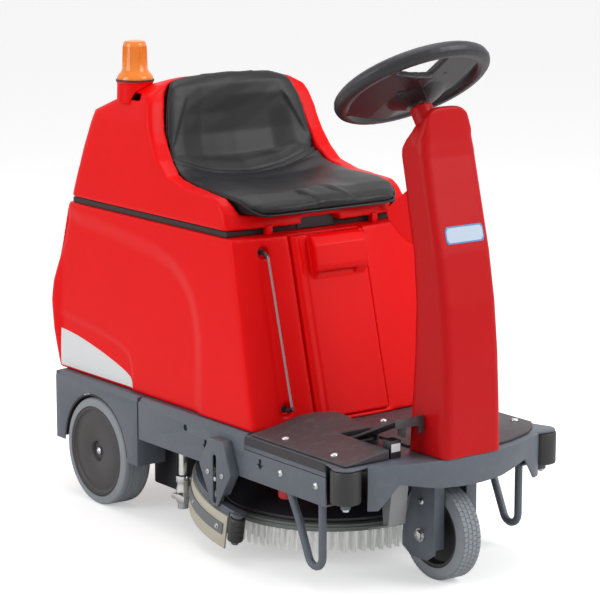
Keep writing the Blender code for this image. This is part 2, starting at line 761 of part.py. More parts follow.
def sight_tube():
    """The clear level tube, standing 10 mm off the tank between its two elbows."""
    low, high = SIGHT_Z
    path = []
    for z, turn in ((high, -1), (low, 1)):
        y = front_face(z) + SIGHT_BACK
        elbow = [
            (y + 0.012, z), (y + 0.002, z), (y - 0.007, z + turn * 0.003), (y - 0.011, z + turn * 0.012)
        ]
        path += elbow if turn < 0 else elbow[::-1]
    return tube("sight", [(SIGHT_X, y, z) for y, z in path], 0.0045, 8)


def battery_pack():
    """Two rows of traction batteries with their caps and terminal posts, strapped as one pack."""
    low, high = BATTERY
    pack = box("pack", low, high)
    middle = (low[1] + high[1]) / 2
    for x in (-0.1225, 0.1225):
        for y in (low[1] + 0.09, middle, high[1] - 0.09):
            join(pack, rod("post", (x, y, high[2] - 0.01), (x, y, high[2] + 0.016), 0.010, 10))
    between = box("groove", (-0.004, low[1] - 0.1, high[2] - 0.06), (0.004, high[1] + 0.1, high[2] + 0.1))
    across = box(
        "groove",
        (low[0] - 0.1, middle - 0.003, high[2] - 0.006),
        (high[0] + 0.1, middle + 0.003, high[2] - 0.001),
    )
    return cut(pack, between, across)


def hood_gasket():
    outer = mirrored([(0.2540, 0.4380), (0.2540, 1.0880)])
    inner = mirrored([(0.2455, 0.4620), (0.2455, 1.0740)])
    ring = prism("ring", outer, "Z", BODY_TOP + GAP, GASKET_TOP)
    return cut(ring, prism("inner", inner, "Z", BODY_TOP - 0.01, GASKET_TOP + 0.01))


# ---------------------------------------------------------------- hood, seat, beacon
def seat_solid(name, taper=0.006, beside=0.0, below=0.0, lift=0.0):
    """The bucket seat's pad as a bent slab. Grown beside, below and upwards, it cuts the pad's well."""
    across = (-1.0, -0.93, -0.80, -0.50, 0.0, 0.50, 0.80, 0.93, 1.0)
    rings = []
    for i, (y, z, half, side_rise, rise, under_y, under_z) in enumerate(SEAT):
        ahead, behind = SEAT[min(i + 1, len(SEAT) - 1)], SEAT[max(i - 1, 0)]
        along = Vector((0, ahead[0] - behind[0], ahead[1] - behind[1])).normalized()
        out = Vector((0, -along.z, along.y))
        down = Vector((0, under_y - y, under_z - z)).normalized()
        ring = []
        for k in across:
            bolster = max(0.0, 1 - abs((abs(k) - 0.85) / 0.15))
            height = side_rise * bolster + rise * max(0.0, 1 - (k / 0.85) ** 2) + lift
            ring.append(Vector((k * (half + beside), y, z)) + out * height)
        for k in reversed(across):
            ring.append(Vector((k * (half - taper + beside), under_y, under_z)) + down * below)
        rings.append(ring)
    return loft(name, rings)


def hood_outside(name, grown=0.0):
    """The hood's outer form, solid."""
    sections = []
    for z, front, rear, half in HOOD:
        bow = HOOD_BOW if z < HOOD[4][0] else 0.0
        middle = front - bow * (half / BODY_X) ** 2
        sections.append(plan_section(z + grown, middle - grown, rear + grown, half + grown, bow))
    return loft(name, sections)


def hood_shell():
    """The upper tank: two shoulders beside the seat's well, open underneath."""
    hood = hood_outside("hood")
    cut(hood, seat_solid("well", taper=0.0, beside=SEAT_BESIDE, below=SEAT_BELOW, lift=0.060))
    under = [(y, z) for _, _, _, _, _, y, z in SEAT]
    w = WALL
    cavity = [(HOOD_REAR - 1.4 * w, HOOD_LOW - 0.01), (1.0150 - 1.2 * w, 0.9540 - w), (0.928 - w, 0.988 - w)]
    cavity += [(0.862, 1.018 - w), (under[12][0] + w + 0.006, under[12][1])]
    cavity += [(y + w * 0.8, z - w) for y, z in reversed(under[4:12])]
    cavity += [(0.4700, 0.7660), (0.4700, HOOD_LOW - 0.01)]
    cut(hood, prism("cavity", cavity, "X", -0.232, 0.232))
    join(hood, box("pad", (-0.050, 0.846, 0.940), (0.050, 0.905, 0.997)))
    notch = [(0.36, HOOD_LOW - 0.01), (0.440, HOOD_LOW - 0.01), (0.440, 0.7535), (0.36, 0.7535)]
    return cut(hood, prism("finger_gap", notch, "X", -0.062, 0.048))


def seat_cushion():
    return seat_solid("cushion")


BEACON = (-0.205, 0.879)
BEACON_Z = 0.9855


def beacon_base():
    """A pedestal that stands on the sloping roof and carries the lamp's ring and spigot."""
    x, y = BEACON
    profile = [
        (0, 0),
        (0.044, 0),
        (0.0425, 0.046),
        (0.0450, 0.048),
        (0.0450, 0.053),
        (0.030, 0.053),
        (0.030, 0.060),
        (0, 0.060),
    ]
    base = turned("base", [(r, BEACON_Z + h) for r, h in profile], (x, y, 0), steps=24)
    return cut(base, hood_outside("roof", grown=GAP))


def beacon_lens():
    """The amber dome, open underneath over the base's spigot."""
    x, y = BEACON
    inner = [
        (0, 0.1420),
        (0.0230, 0.1410),
        (0.0250, 0.1340),
        (0.0270, 0.0780),
        (0.0306, 0.0660),
        (0.0306, 0.0535),
    ]
    outer = [
        (0.0430, 0.0535),
        (0.0430, 0.0600),
        (0.0395, 0.0660),
        (0.0305, 0.0780),
        (0.0280, 0.1370),
        (0.0255, 0.1450),
        (0, 0.1460),
    ]
    return turned("lens", [(r, BEACON_Z + h) for r, h in inner + outer], (x, y, 0), steps=24)


def suction_motor():
    x, y, top = 0.0, 0.880, 0.9395
    profile = [
        (0, top - 0.140),
        (0.050, top - 0.140),
        (0.050, top - 0.086),
        (0.066, top - 0.080),
        (0.066, top - 0.016),
        (0.045, top - 0.010),
        (0.045, top),
        (0, top),
    ]
    return turned("motor", profile, (x, y, 0), steps=20)


# ---------------------------------------------------------------- steering
def on_wheel_axis(distance, across=0.0):
    """Point at a distance above (+) or below (-) the rim's plane; across is towards the rider."""
    y, z = WHEEL_CENTRE
    return (
        0.0,
        y + distance * sin(WHEEL_TILT) + across * cos(WHEEL_TILT),
        z + distance * cos(WHEEL_TILT) - across * sin(WHEEL_TILT),
    )


WHEEL_AXIS = (0.0, sin(WHEEL_TILT), cos(WHEEL_TILT))
HUB_LOW = -0.052
SPOKES = ((radians(178), 0.098), (radians(-72), 0.056), (radians(62), 0.046))  # direction, half width


def steering_wheel():
    """Rim, three broad spokes and a conical hub."""
    bm = bmesh.new()
    around, across = 48, 10
    rings = []
    for i in range(around):
        a = 2 * pi * i / around
        out = Vector((cos(a), sin(a), 0))
        centre = out * WHEEL_R
        rings.append(
            [
                bm.verts.new(
                    centre + RIM_TUBE * (
                        out * cos(2 * pi * k / across) + Vector((0, 0, sin(2 * pi * k / across)))
                    ),
                )
                for k in range(across)
            ]
        )
    for i in range(around):
        low, high = rings[i], rings[(i + 1) % around]
        for k in range(across):
            bm.faces.new([low[k], low[(k + 1) % across], high[(k + 1) % across], high[k]])
    wheel = add_object("wheel", bm)
    hub = [(0, -0.010), (0.072, -0.014), (0.078, -0.024), (0.055, -0.040), (0.031, HUB_LOW), (0, HUB_LOW)]
    hub = turned("hub", hub, steps=24)
    for angle, half in SPOKES:
        along = Vector((cos(angle), sin(angle), 0))
        side = Vector((-sin(angle), cos(angle), 0))
        sections = []
        for reach, low, high in ((0.020, -0.036, -0.018), (0.070, -0.030, -0.015), (0.161, -0.009, 0.005)):
            corners = ((-half, low), (half, low), (half, high), (-half, high))
            sections.append([along * reach + side * s + Vector((0, 0, h)) for s, h in corners])
        join(hub, loft("spoke", sections))
    cut(hub, turned("trim", [(WHEEL_R, -0.1), (0.3, -0.1), (0.3, 0.1), (WHEEL_R, 0.1)], steps=48))
    join(wheel, hub)
    cut(wheel, rod("socket", (0, 0, HUB_LOW - 0.01), (0, 0, -0.020), SHAFT_R + GAP, 16))
    cut(wheel, rod("well", (0, 0, -0.0150), (0, 0, 0.02), 0.0240, 20))
    wheel.data.transform(Matrix.Translation(on_wheel_axis(0)) @ Matrix.Rotation(-WHEEL_TILT, 4, "X"))
    return wheel


def horn_button():
    low, high = -0.0120, -0.0050
    cap = turned(
        "cap", [(0, low), (0.0225, low), (0.0225, high - 0.002), (0.0190, high), (0, high)], steps=20
    )
    cap.data.transform(Matrix.Translation(on_wheel_axis(0)) @ Matrix.Rotation(-WHEEL_TILT, 4, "X"))
    return cap


SHAFT_END = -0.262


def steering_shaft():
    return rod("shaft", on_wheel_axis(SHAFT_END), on_wheel_axis(-0.0205), SHAFT_R, 12)


def kingpin_shaft():
    """The upright shaft from the turntable's motor to just under the steering shaft's joint."""
    shaft = rod("kingpin", (0, KINGPIN_Y, 0.4004), (0, KINGPIN_Y, 0.822), 0.0060, 12)
    return join(shaft, rod("collar", (0, KINGPIN_Y, 0.4004), (0, KINGPIN_Y, 0.412), 0.016, 16))


def traction_motor():
    y = KINGPIN_Y
    profile = [(0, 0.2624), (0.036, 0.2624), (0.036, 0.392), (0.028, 0.4000), (0, 0.4000)]
    return turned("motor", profile, (0, y, 0), steps=24)


COLUMN = (  # height, front and rear stations, half width
    (0.3004, -0.1247, 0.0080, 0.0828),
    (0.4100, -0.1225, 0.0015, 0.0805),
    (0.5200, -0.1185, -0.0025, 0.0782),
    (0.6300, -0.1065, -0.0045, 0.0780),
    (0.7400, -0.0860, 0.0060, 0.0777),
    (0.8600, -0.0555, 0.0320, 0.0768),
    (0.9400, -0.0365, 0.0520, 0.0757),
    (0.9560, -0.0340, 0.0510, 0.0755),
    (0.9730, -0.0310, 0.0400, 0.0750),
    (0.9920, -0.0285, 0.0230, 0.0735),
    (1.0140, -0.0260, 0.0040, 0.0700),
    (1.0340, -0.0240, -0.0090, 0.0570),
)


def column_section(height, front, rear, half, inset=0.0):
    """A rectangle with four-point corners."""
    front, rear, half = front + inset, rear - inset, half - inset
    r = min(0.020, half * 0.4, (rear - front) * 0.4)
    corners = (
        (half - r, front + r, -90),
        (half - r, rear - r, 0),
        (r - half, rear - r, 90),
        (r - half, front + r, 180),
    )
    points = []
    for x, y, start in corners:
        points += arc((x, y), r, radians(start), radians(start + 90), 3)
    return [(x, y, height) for x, y in points]


def column_cover():
    cover = loft("column", [column_section(*row) for row in COLUMN])
    inner = [column_section(*row, inset=0.004) for row in COLUMN[:-2]]
    foot = [(x, y, FLOOR_Z - 0.01) for x, y, _ in inner[0]]
    cut(cover, loft("inside", [foot] + inner[1:]))
    y, z = WHEEL_CENTRE
    neck = turned(
        "neck",
        [(0, -0.150), (0.022, -0.150), (0.026, -0.056), (0, -0.056)],
        on_wheel_axis(0),
        WHEEL_AXIS,
        20,
    )
    join(cover, neck)
    return cut(cover, rod("bore", on_wheel_axis(-0.16), on_wheel_axis(-0.04), SHAFT_R + 0.0025, 16))


# the pod's sloping face, where the switches sit: its upper front point and its direction
POD_TOP = (0.0350, 0.8640)
POD_SLOPE = atan2(0.044, 0.066)
POD_NORMAL = (0.0, sin(POD_SLOPE), cos(POD_SLOPE))
KEY_AT = (0.046, 0.046)
STOP_AT = (0.000, 0.042)


def on_pod(x, along, above):
    y, z = POD_TOP
    return (
        x,
        y + along * cos(POD_SLOPE) + above * sin(POD_SLOPE),
        z - along * sin(POD_SLOPE) + above * cos(POD_SLOPE),
    )


def console_pod():
    """The switch housing on the rider's side of the column."""
    outline = [
        (0.0095, 0.748),
        (0.0320, 0.755),
        (0.0620, 0.769),
        (0.0920, 0.789),
        (0.1010, 0.806),
        (0.0960, 0.822),
        POD_TOP,
    ]
    pod = prism("pod", outline, "X", -0.066, 0.066)
    wall = [
        (y + GAP * 1.5, z)
        for y, z in ((-0.02, 0.74), (0.0060, 0.740), (0.0320, 0.860), (0.0350, 0.872), (-0.02, 0.872))
    ]
    cut(pod, prism("wall", wall, "X", -0.1, 0.1))
    cut(
        pod,
        rod(
            "key_hole", on_pod(KEY_AT[0], KEY_AT[1], -0.014), on_pod(KEY_AT[0], KEY_AT[1], 0.02), 0.0045, 12
        ),
    )
    return cut(
        pod,
        rod(
            "stop_hole",
            on_pod(STOP_AT[0], STOP_AT[1], -0.016),
            on_pod(STOP_AT[0], STOP_AT[1], 0.02),
            0.0075,
            16,
        ),
    )


def ignition_key():
    x, along = KEY_AT
    key = rod("stem", on_pod(x, along, -0.012), on_pod(x, along, 0.008), 0.0035, 10)
    head = box("head", (-0.0015, -0.012, 0.006), (0.0015, 0.012, 0.030))
    head.data.transform(Matrix.Translation(on_pod(x, along, 0)) @ Matrix.Rotation(-POD_SLOPE, 4, "X"))
    return join(key, head)


def emergency_stop():
    profile = [
        (0, -0.009),
        (0.0070, -0.009),
        (0.0070, 0.006),
        (0.0160, 0.008),
        (0.0170, 0.014),
        (0.0120, 0.019),
        (0, 0.020),
    ]
    return turned("stop", profile, on_pod(STOP_AT[0], STOP_AT[1], 0), POD_NORMAL, 20)


# ---------------------------------------------------------------- scrub head
def brush_deck():
    """A shallow dome over the brush with two guide rods."""
    wall = DECK_WALL
    profile = [
        (0.0110, DECK_TOP - wall),
        (0.1450, DECK_TOP - wall),
        (DECK_R - 0.008, DECK_LOW),
        (DECK_R, DECK_LOW),
        (DECK_R, DECK_LOW + wall),
        (0.1550, DECK_TOP),
        (0.0110, DECK_TOP),
    ]
    deck = turned("deck", profile, (0, BRUSH_Y, 0), steps=40)
    for _, side in SIDES:
        x, y = side * GUIDE[0], GUIDE[1]
        join(deck, rod("guide", (x, y, 0.1075), (x, y, 0.2900), GUIDE_R, 10))
    return deck


def brush_motor():
    profile = [
        (0, 0.1216),
        (0.008, 0.1216),
        (0.008, DECK_TOP + GAP),
        (MOTOR_R, DECK_TOP + GAP),
        (MOTOR_R, 0.250),
        (0.050, 0.262),
        (0, 0.262),
    ]
    return turned("motor", profile, (0, BRUSH_Y, 0), steps=24)


def brush_block():
    profile = [
        (0, BLOCK_LOW),
        (BRUSH_R, BLOCK_LOW),
        (BRUSH_R, BLOCK_TOP),
        (0.030, BLOCK_TOP),
        (0.028, 0.1212),
        (0, 0.1212),
    ]
    return turned("block", profile, (0, BRUSH_Y, 0), steps=48)


def brush_bristles():
    top = BLOCK_LOW - GAP
    profile = [(0.150, top), (0.146, BRISTLE_LOW), (BRISTLE_TIP_R, BRISTLE_LOW), (BRUSH_R - 0.004, top)]
    return turned("bristles", profile, (0, BRUSH_Y, 0), steps=48)


# ---------------------------------------------------------------- squeegee
def band(name, inner, outer, low, high, end_station, count=36):
    """A ring segment around the brush's centre, open towards the front."""
    turn = asin((BRUSH_Y - end_station) / ((inner + outer) / 2))
    outline = arc(
        (0, BRUSH_Y), outer, -turn, pi + turn, count
    ) + arc((0, BRUSH_Y), inner, pi + turn, -turn, count)
    return prism(name, outline, "Z", low, high)


def level(obj):
    return tilt(obj, SQUEEGEE_TILT, *SQUEEGEE_AXIS)


END_ROLLER = (0.309, 0.317)
END_ROLLER_Z = (0.070, 0.1265)


def squeegee_carrier():
    """A curved plate with a downward flange, its hinge lugs, roller studs and the suction spigot."""
    low, high = CARRIER_Z
    plate = band("plate", CARRIER_R[0], CARRIER_R[1] - 0.0006, low, high, 0.318)
    join(plate, band("flange", CARRIER_R[1] - 0.004, CARRIER_R[1], 0.074, low + 0.001, SQUEEGEE_END + 0.002))
    y, z = SQUEEGEE_AXIS
    for _, side in SIDES:
        near, far = sorted((side * 0.2985, side * 0.3025))
        lug = prism(
            "lug",
            [
                (y - 0.009, low + 0.002),
                (y + 0.009, low + 0.002),
                (y + 0.007, z + 0.007),
                (y - 0.007, z + 0.007),
            ],
            "X",
            near,
            far,
        )
        pin = rod("pin", (side * 0.300, y, z), (side * 0.3095, y, z), 0.0025, 8)
        x, roller_y = side * END_ROLLER[0], END_ROLLER[1]
        ear = rod("ear", (x, roller_y, low), (x, roller_y, high), 0.013, 12)
        stud = turned(
            "stud",
            [
                (0, 0.062),
                (0.009, 0.062),
                (0.009, 0.067),
                (0.004, 0.067),
                (0.004, low + 0.001),
                (0, low + 0.001),
            ],
            (x, roller_y, 0),
            steps=8,
        )
        join(plate, lug, pin, ear, stud)
    y = BRUSH_Y + CARRIER_R[0]
    neck = [
        (PORT_R + 0.0005, low + 0.001),
        (PORT_R + 0.0055, low + 0.001),
        (PORT_R + 0.0045, 0.175),
        (PORT_R + 0.0005, 0.175),
    ]
    join(plate, rod("pad", (0, y, low + 0.0005), (0, y, high + 0.0010), PORT_R + 0.0065, 16))
    cut(plate, rod("port", (0, y, 0.10), (0, y, 0.15), PORT_R, 16))
    return level(join(plate, turned("neck", neck, (0, y, 0), steps=16)))


def squeegee_blade():
    inner = CARRIER_R[1] + GAP
    return level(band("blade", inner, inner + BLADE_T, BLADE_Z[0], BLADE_Z[1], SQUEEGEE_END))


def squeegee_strip():
    inner = CARRIER_R[1] + GAP * 2 + BLADE_T
    return level(band("strip", inner, inner + 0.0025, 0.070, 0.096, SQUEEGEE_END + 0.010))


def squeegee_roller(side):
    low, high = END_ROLLER_Z
    profile = [
        (0.0046, low),
        (0.0150, low),
        (0.0185, low + 0.006),
        (0.0185, high - 0.006),
        (0.0150, high),
        (0.0046, high),
    ]
    return level(turned("roller", profile, (side * END_ROLLER[0], END_ROLLER[1], 0), steps=16))


def squeegee_hanger(side):
    """The slider in the guide bracket, with the pin that runs in its slot."""
    y, z = SQUEEGEE_AXIS
    near, far = sorted((side * 0.3035, side * 0.3125))
    outline = [
        (y - 0.006, z - 0.008),
        (y + 0.006, z - 0.008),
        (y + 0.010, z),
        (y + 0.006, 0.198),
        (y - 0.006, 0.198),
        (y - 0.010, z),
    ]
    block = prism("block", outline, "X", near, far)
    join(block, rod("pin", (side * 0.305, y, 0.186), (side * 0.3195, y, 0.186), 0.0055, 12))
    return cut(block, rod("eye", (side * 0.29, y, z), (side * 0.32, y, z), 0.0030, 8))


# ---------------------------------------------------------------- small pieces
VALVE = (-0.238, 0.644)
VALVE_Z = 0.082
LEVER_REACH = 0.044


def drain_valve_body():
    profile = [
        (0, 0.048),
        (0.0130, 0.048),
        (0.0130, 0.060),
        (0.0165, 0.066),
        (0.0180, 0.082),
        (0.0165, 0.098),
        (0.0145, 0.104),
        (0.0150, 0.112),
        (0.0175, 0.113),
        (0.0175, 0.128),
        (0.0105, 0.130),
        (0.0105, BED_Z),
        (0, BED_Z),
    ]
    body = turned("valve", profile, (VALVE[0], VALVE[1], 0), steps=16)
    x, y = VALVE
    join(body, rod("gland", (x - 0.010, y, VALVE_Z), (x - 0.0240, y, VALVE_Z), 0.0060, 10))
    return cut(body, rod("outlet", (x, y, 0.03), (x, y, 0.060), 0.0085, 12))


def drain_valve_lever():
    x, y = VALVE
    lever = rod("boss", (x - 0.0245, y, VALVE_Z), (x - 0.0295, y, VALVE_Z), 0.0070, 12)
    arm = box("arm", (x - 0.0280, y - LEVER_REACH, VALVE_Z - 0.0065), (x - 0.0250, y, VALVE_Z + 0.0065))
    return join(lever, arm)


def filter_cup():
    profile = [
        (0, 0.160),
        (0.014, 0.160),
        (0.018, 0.166),
        (0.018, 0.236),
        (0.021, 0.240),
        (0.021, 0.262),
        (0.011, 0.266),
    ]
    profile += [(0.011, FLOOR_Z - FLOOR_T - GAP), (0, FLOOR_Z - FLOOR_T - GAP)]
    return turned("cup", profile, (-0.228, 0.250, 0), steps=16)


def accelerator_pedal():
    """A plate hinged at the heel, with a toe lip, a stop tab and the arm to its sensor."""
    heel_y, heel_z = PEDAL_HEEL
    toe_y, toe_z = PEDAL_TOE
    slope = (toe_z - heel_z) / (heel_y - toe_y)

    def under(y):
        return heel_z + (heel_y - y) * slope - 0.005

    near, far = PEDAL_X
    plate = prism(
        "plate",
        [(heel_y, heel_z - 0.0025), (heel_y, heel_z + 0.003), (toe_y, toe_z), (toe_y, under(toe_y))],
        "X",
        near,
        far,
    )
    barrel = rod("barrel", (near, heel_y, heel_z), (far, heel_y, heel_z), 0.0060, 12)
    lip = box("lip", (near, toe_y - 0.003, toe_z - 0.020), (far, toe_y + 0.001, toe_z - 0.0005))
    tab = box("tab", (far - 0.013, toe_y - 0.003, toe_z - 0.038), (far, toe_y + 0.001, toe_z - 0.018))
    arm = box("arm", (-0.1325, -0.045, 0.345), (-0.1265, -0.025, under(-0.025) + 0.003))
    return join(plate, barrel, lip, tab, arm)


def pedal_sensor():
    return box("sensor", (-0.1640, -0.0400, FLOOR_Z + GAP), (-0.1350, -0.0120, 0.3400))


# ---------------------------------------------------------------- assembly
def build():
    centre = (0, BRUSH_Y, 0)
    for name, side in SIDES:
        finish(rail(side), f"rail_{name}", "steel_paint")
        finish(wheel_housing(side), f"wheel_housing_{name}", "steel_paint")
        finish(squeegee_guide(side), f"squeegee_guide_{name}", "steel_paint")
        finish(foot_guard(side), f"foot_guard_{name}", "steel_paint")
        hanger_pivot = (0, *SQUEEGEE_AXIS)
        finish(squeegee_hanger(side), f"squeegee_hanger_{name}", "metal", hanger_pivot)
        end = (side * END_ROLLER[0], END_ROLLER[1], 0.100)
        turn = Matrix.Rotation(SQUEEGEE_TILT, 3, "X")
        away = Vector((0, *SQUEEGEE_AXIS))
        pivot = away + turn @ (Vector(end) - away)
        finish(squeegee_roller(side), f"squeegee_roller_{name}", "black_plastic", pivot)
        low, high = ROLLER_Z
        roller = [(0.0062, low), (ROLLER_R - 0.003, low), (ROLLER_R, low + 0.003)]
        roller += [(ROLLER_R, high - 0.003), (ROLLER_R - 0.003, high), (0.0062, high)]
        place = (side * ROLLER[0], ROLLER[1], 0)
        finish(turned("roller", roller, place, steps=24), f"corner_roller_{name}", "black_plastic", place)
        tyre, rim = wheel_pieces(REAR_R, REAR_RIM_R, REAR_W, AXLE_R + 0.0004, RAIL_X - REAR_W)
        axle = (0, *REAR_AXLE)
        finish(turned("tyre", tyre, axle, (side, 0, 0), 40, True), f"rear_tyre_{name}", "rubber", axle)
        finish(turned("rim", rim, axle, (side, 0, 0), 32), f"rear_rim_{name}", "black_plastic", axle)

    finish(front_bumper(), "front_bumper", "steel_paint")
    finish(floor_plate(), "floor_plate", "steel_paint")
    finish(subframe(), "subframe", "steel_paint")
    finish(footrest_right(), "footrest_right", "mat", smooth=20)
    finish(footrest_mat_left(), "footrest_mat_left", "mat")
    finish(deck_bracket(), "deck_bracket", "metal")

    king = (0, KINGPIN_Y, 0)
    axle = (0, *FRONT_AXLE)
    finish(steering_fork(), "steering_fork", "steel_paint", king)
    finish(traction_motor(), "traction_motor", "black_plastic", king)
    finish(kingpin_shaft(), "kingpin_shaft", "metal", king)
    finish(front_axle(), "front_axle", "metal", king)
    tyre, rim = wheel_pieces(FRONT_R, FRONT_RIM_R, FRONT_W, 0.0066, -FRONT_W / 2)
    finish(turned("tyre", tyre, axle, (1, 0, 0), 40, True), "front_tyre", "rubber", axle)
    finish(turned("rim", rim, axle, (1, 0, 0), 32), "front_rim", "black_plastic", axle)

    finish(tank_body(), "tank_body", "red")
    finish(battery_pack(), "battery_pack", "black_plastic")
    finish(hood_gasket(), "hood_gasket", "grey_plastic")
    finish(sight_tube(), "sight_tube", "clear")
    panel_pivot = (0, front_face(PANEL_Z[0]), PANEL_Z[0])
    finish(access_panel(), "access_panel", "red", panel_pivot)

    hinge = (0, HOOD_REAR + 0.006, HOOD_LOW - 0.004)
    finish(hood_shell(), "hood_shell", "red", hinge)
    finish(seat_cushion(), "seat_cushion", "vinyl", hinge)
    finish(beacon_base(), "beacon_base", "red", hinge)
    finish(beacon_lens(), "beacon_lens", "amber", hinge)
    finish(suction_motor(), "suction_motor", "black_plastic", hinge)

    hub = on_wheel_axis(0)
    finish(steering_wheel(), "steering_wheel", "black_plastic", hub)
    finish(steering_shaft(), "steering_shaft", "metal", hub)
    finish(horn_button(), "horn_button", "black_plastic", hub)
    finish(column_cover(), "column_cover", "column_red")
    finish(console_pod(), "console_pod", "red")
    finish(ignition_key(), "ignition_key", "black_plastic", on_pod(*KEY_AT, 0))
    finish(emergency_stop(), "emergency_stop", "amber", on_pod(*STOP_AT, 0))

    finish(brush_deck(), "brush_deck", "black_plastic", centre)
    finish(brush_motor(), "brush_motor", "black_plastic", centre)
    finish(brush_block(), "brush_block", "grey_plastic", centre)
    finish(brush_bristles(), "brush_bristles", "bristle", centre)

    pins = (0, *SQUEEGEE_AXIS)
    finish(squeegee_carrier(), "squeegee_carrier", "steel_paint", pins)
    finish(squeegee_blade(), "squeegee_blade", "gum", pins)
    finish(squeegee_strip(), "squeegee_strip", "grey_plastic", pins)

    finish(drain_valve_body(), "drain_valve_body", "metal")
    finish(drain_valve_lever(), "drain_valve_lever", "metal", (VALVE[0] - 0.024, VALVE[1], VALVE_Z))
    finish(filter_cup(), "filter_cup", "red")
    finish(accelerator_pedal(), "accelerator_pedal", "mat", (0, *PEDAL_HEEL))
    finish(pedal_sensor(), "pedal_sensor", "black_plastic")

    for obj in bpy.context.scene.collection.objects:
        obj.location.y -= MIDDLE


build()
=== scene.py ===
"""Looks for a ride-on floor scrubber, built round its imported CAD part.

Laid out as a Blender add-on: each operator makes one group of pieces, and main() runs them all.
Metres, +Z up; the machine drives towards -Y and its right side is -X. A station is a distance
that grows from the front bumper to the rear, as in the part's own source.
"""

import json
from math import cos, pi, radians, sin

import bmesh
import bpy
import numpy as np
from mathutils import Matrix, Vector
from mathutils.bvhtree import BVHTree

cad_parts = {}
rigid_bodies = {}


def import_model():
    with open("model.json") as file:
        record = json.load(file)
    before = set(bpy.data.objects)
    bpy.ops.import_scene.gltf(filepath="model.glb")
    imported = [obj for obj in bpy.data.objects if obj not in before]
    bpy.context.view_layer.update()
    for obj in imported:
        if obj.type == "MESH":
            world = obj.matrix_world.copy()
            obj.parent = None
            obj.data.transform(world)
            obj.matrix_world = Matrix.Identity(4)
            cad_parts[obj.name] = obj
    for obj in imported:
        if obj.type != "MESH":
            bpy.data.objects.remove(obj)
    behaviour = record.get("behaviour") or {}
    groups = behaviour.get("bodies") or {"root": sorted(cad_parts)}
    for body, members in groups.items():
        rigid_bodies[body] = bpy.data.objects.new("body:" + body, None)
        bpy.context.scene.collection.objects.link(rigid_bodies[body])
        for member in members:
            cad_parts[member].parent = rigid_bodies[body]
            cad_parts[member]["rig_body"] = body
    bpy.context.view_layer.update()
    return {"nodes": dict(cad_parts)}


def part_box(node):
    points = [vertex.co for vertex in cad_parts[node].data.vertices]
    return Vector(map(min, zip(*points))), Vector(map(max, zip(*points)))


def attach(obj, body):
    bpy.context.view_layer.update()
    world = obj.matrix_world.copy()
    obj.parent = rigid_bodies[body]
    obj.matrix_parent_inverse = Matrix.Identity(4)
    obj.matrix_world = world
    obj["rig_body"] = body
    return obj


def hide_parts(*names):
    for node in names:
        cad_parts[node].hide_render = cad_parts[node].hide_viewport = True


bl_info = {
    "name": "Floor Scrubber Looks",
    "version": (1, 0, 0),
    "blender": (4, 5, 0),
    "location": "View3D > Sidebar > Scrubber",
    "description": "Builds the looks of a ride-on floor scrubber round its CAD frame",
    "category": "Object",
}

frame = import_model()
MIDDLE = 0.53225  # the station of the row frame's origin
MM = 0.001
SIDES = (("right", -1), ("left", 1))


def at(x, station, z):
    return Vector((x, station - MIDDLE, z))


# ---------------------------------------------------------------- settings
def linear(code):
    """A sRGB hex colour as the linear one that shaders take."""
    parts = [int(code[i : i + 2], 16) / 255 for i in (0, 2, 4)]
    return tuple(c / 12.92 if c <= 0.04045 else ((c + 0.055) / 1.055) ** 2.4 for c in parts)


def colour_setting(name, about, code):
    return bpy.props.FloatVectorProperty(
        name=name, description=about, subtype="COLOR", size=3, min=0, max=1, default=linear(code)
    )


def length_setting(name, about, default):
    return bpy.props.FloatProperty(name=name, description=about, default=default, min=0, unit="LENGTH")


def count_setting(name, about, default):
    return bpy.props.IntProperty(name=name, description=about, default=default, min=1)


class ScrubberColours(bpy.types.PropertyGroup):
    body: colour_setting("Body", "Tank, hood and panel", "EA0509")
    column: colour_setting("Column", "Steering column", "BE0B11")
    paint: colour_setting("Frame paint", "Rails, housings, bumper and fork", "59606A")
    tyre: colour_setting("Tyres", "Rubber of the three wheels", "8F959B")
    hub: colour_setting("Hubs", "Plastic discs of the wheels", "3A3738")
    vinyl: colour_setting("Seat", "Seat cover", "151417")
    lens: colour_setting("Beacon", "Dome of the lamp", "FF8A10")
    mat: colour_setting("Mats", "Foot mats and pedal", "413B3F")
    black: colour_setting("Black plastic", "Steering wheel, motors and small parts", "202024")
    blade: colour_setting("Blade", "Squeegee blade", "C2BDAC")
    brush: colour_setting("Brush body", "Ring that holds the bristles", "6F7572")


class ScrubberSizes(bpy.types.PropertyGroup):
    tank_mesh: length_setting("Tank mesh", "Mesh size of the moulded tank", 0.0052)
    hood_mesh: length_setting("Hood mesh", "Mesh size of the moulded hood", 0.0045)
    seat_mesh: length_setting("Seat mesh", "Mesh size of the seat pad", 0.0036)
    fine_mesh: length_setting("Small mouldings' mesh", "Mesh size of smaller mouldings", 0.0025)
    piping: length_setting("Piping", "Radius of the seat's edge piping", 0.0028)
    screw: length_setting("Screw head", "Radius of a frame screw's head", 0.0085)
    decal: length_setting("Decal", "Thickness of the pale films", 0.0004)
    tufts: count_setting("Tufts", "Bristle tufts in the outermost ring", 72)
    tread: count_setting("Tread blocks", "Blocks round the front tyre", 58)
    flutes: count_setting("Flutes", "Flutes round the lamp's dome", 40)


# ---------------------------------------------------------------- materials
def put(tree, kind, values=None, **settings):
    """Adds a node. Settings are its properties; values fill its inputs, and a socket among them is linked."""
    made = tree.nodes.new(kind)
    for key, value in settings.items():
        setattr(made, key, value)
    for key, value in (values or {}).items():
        if isinstance(value, bpy.types.NodeSocket):
            tree.links.new(value, made.inputs[key])
        else:
            made.inputs[key].default_value = value
    return made


DUST = (0.42, 0.40, 0.38, 1)


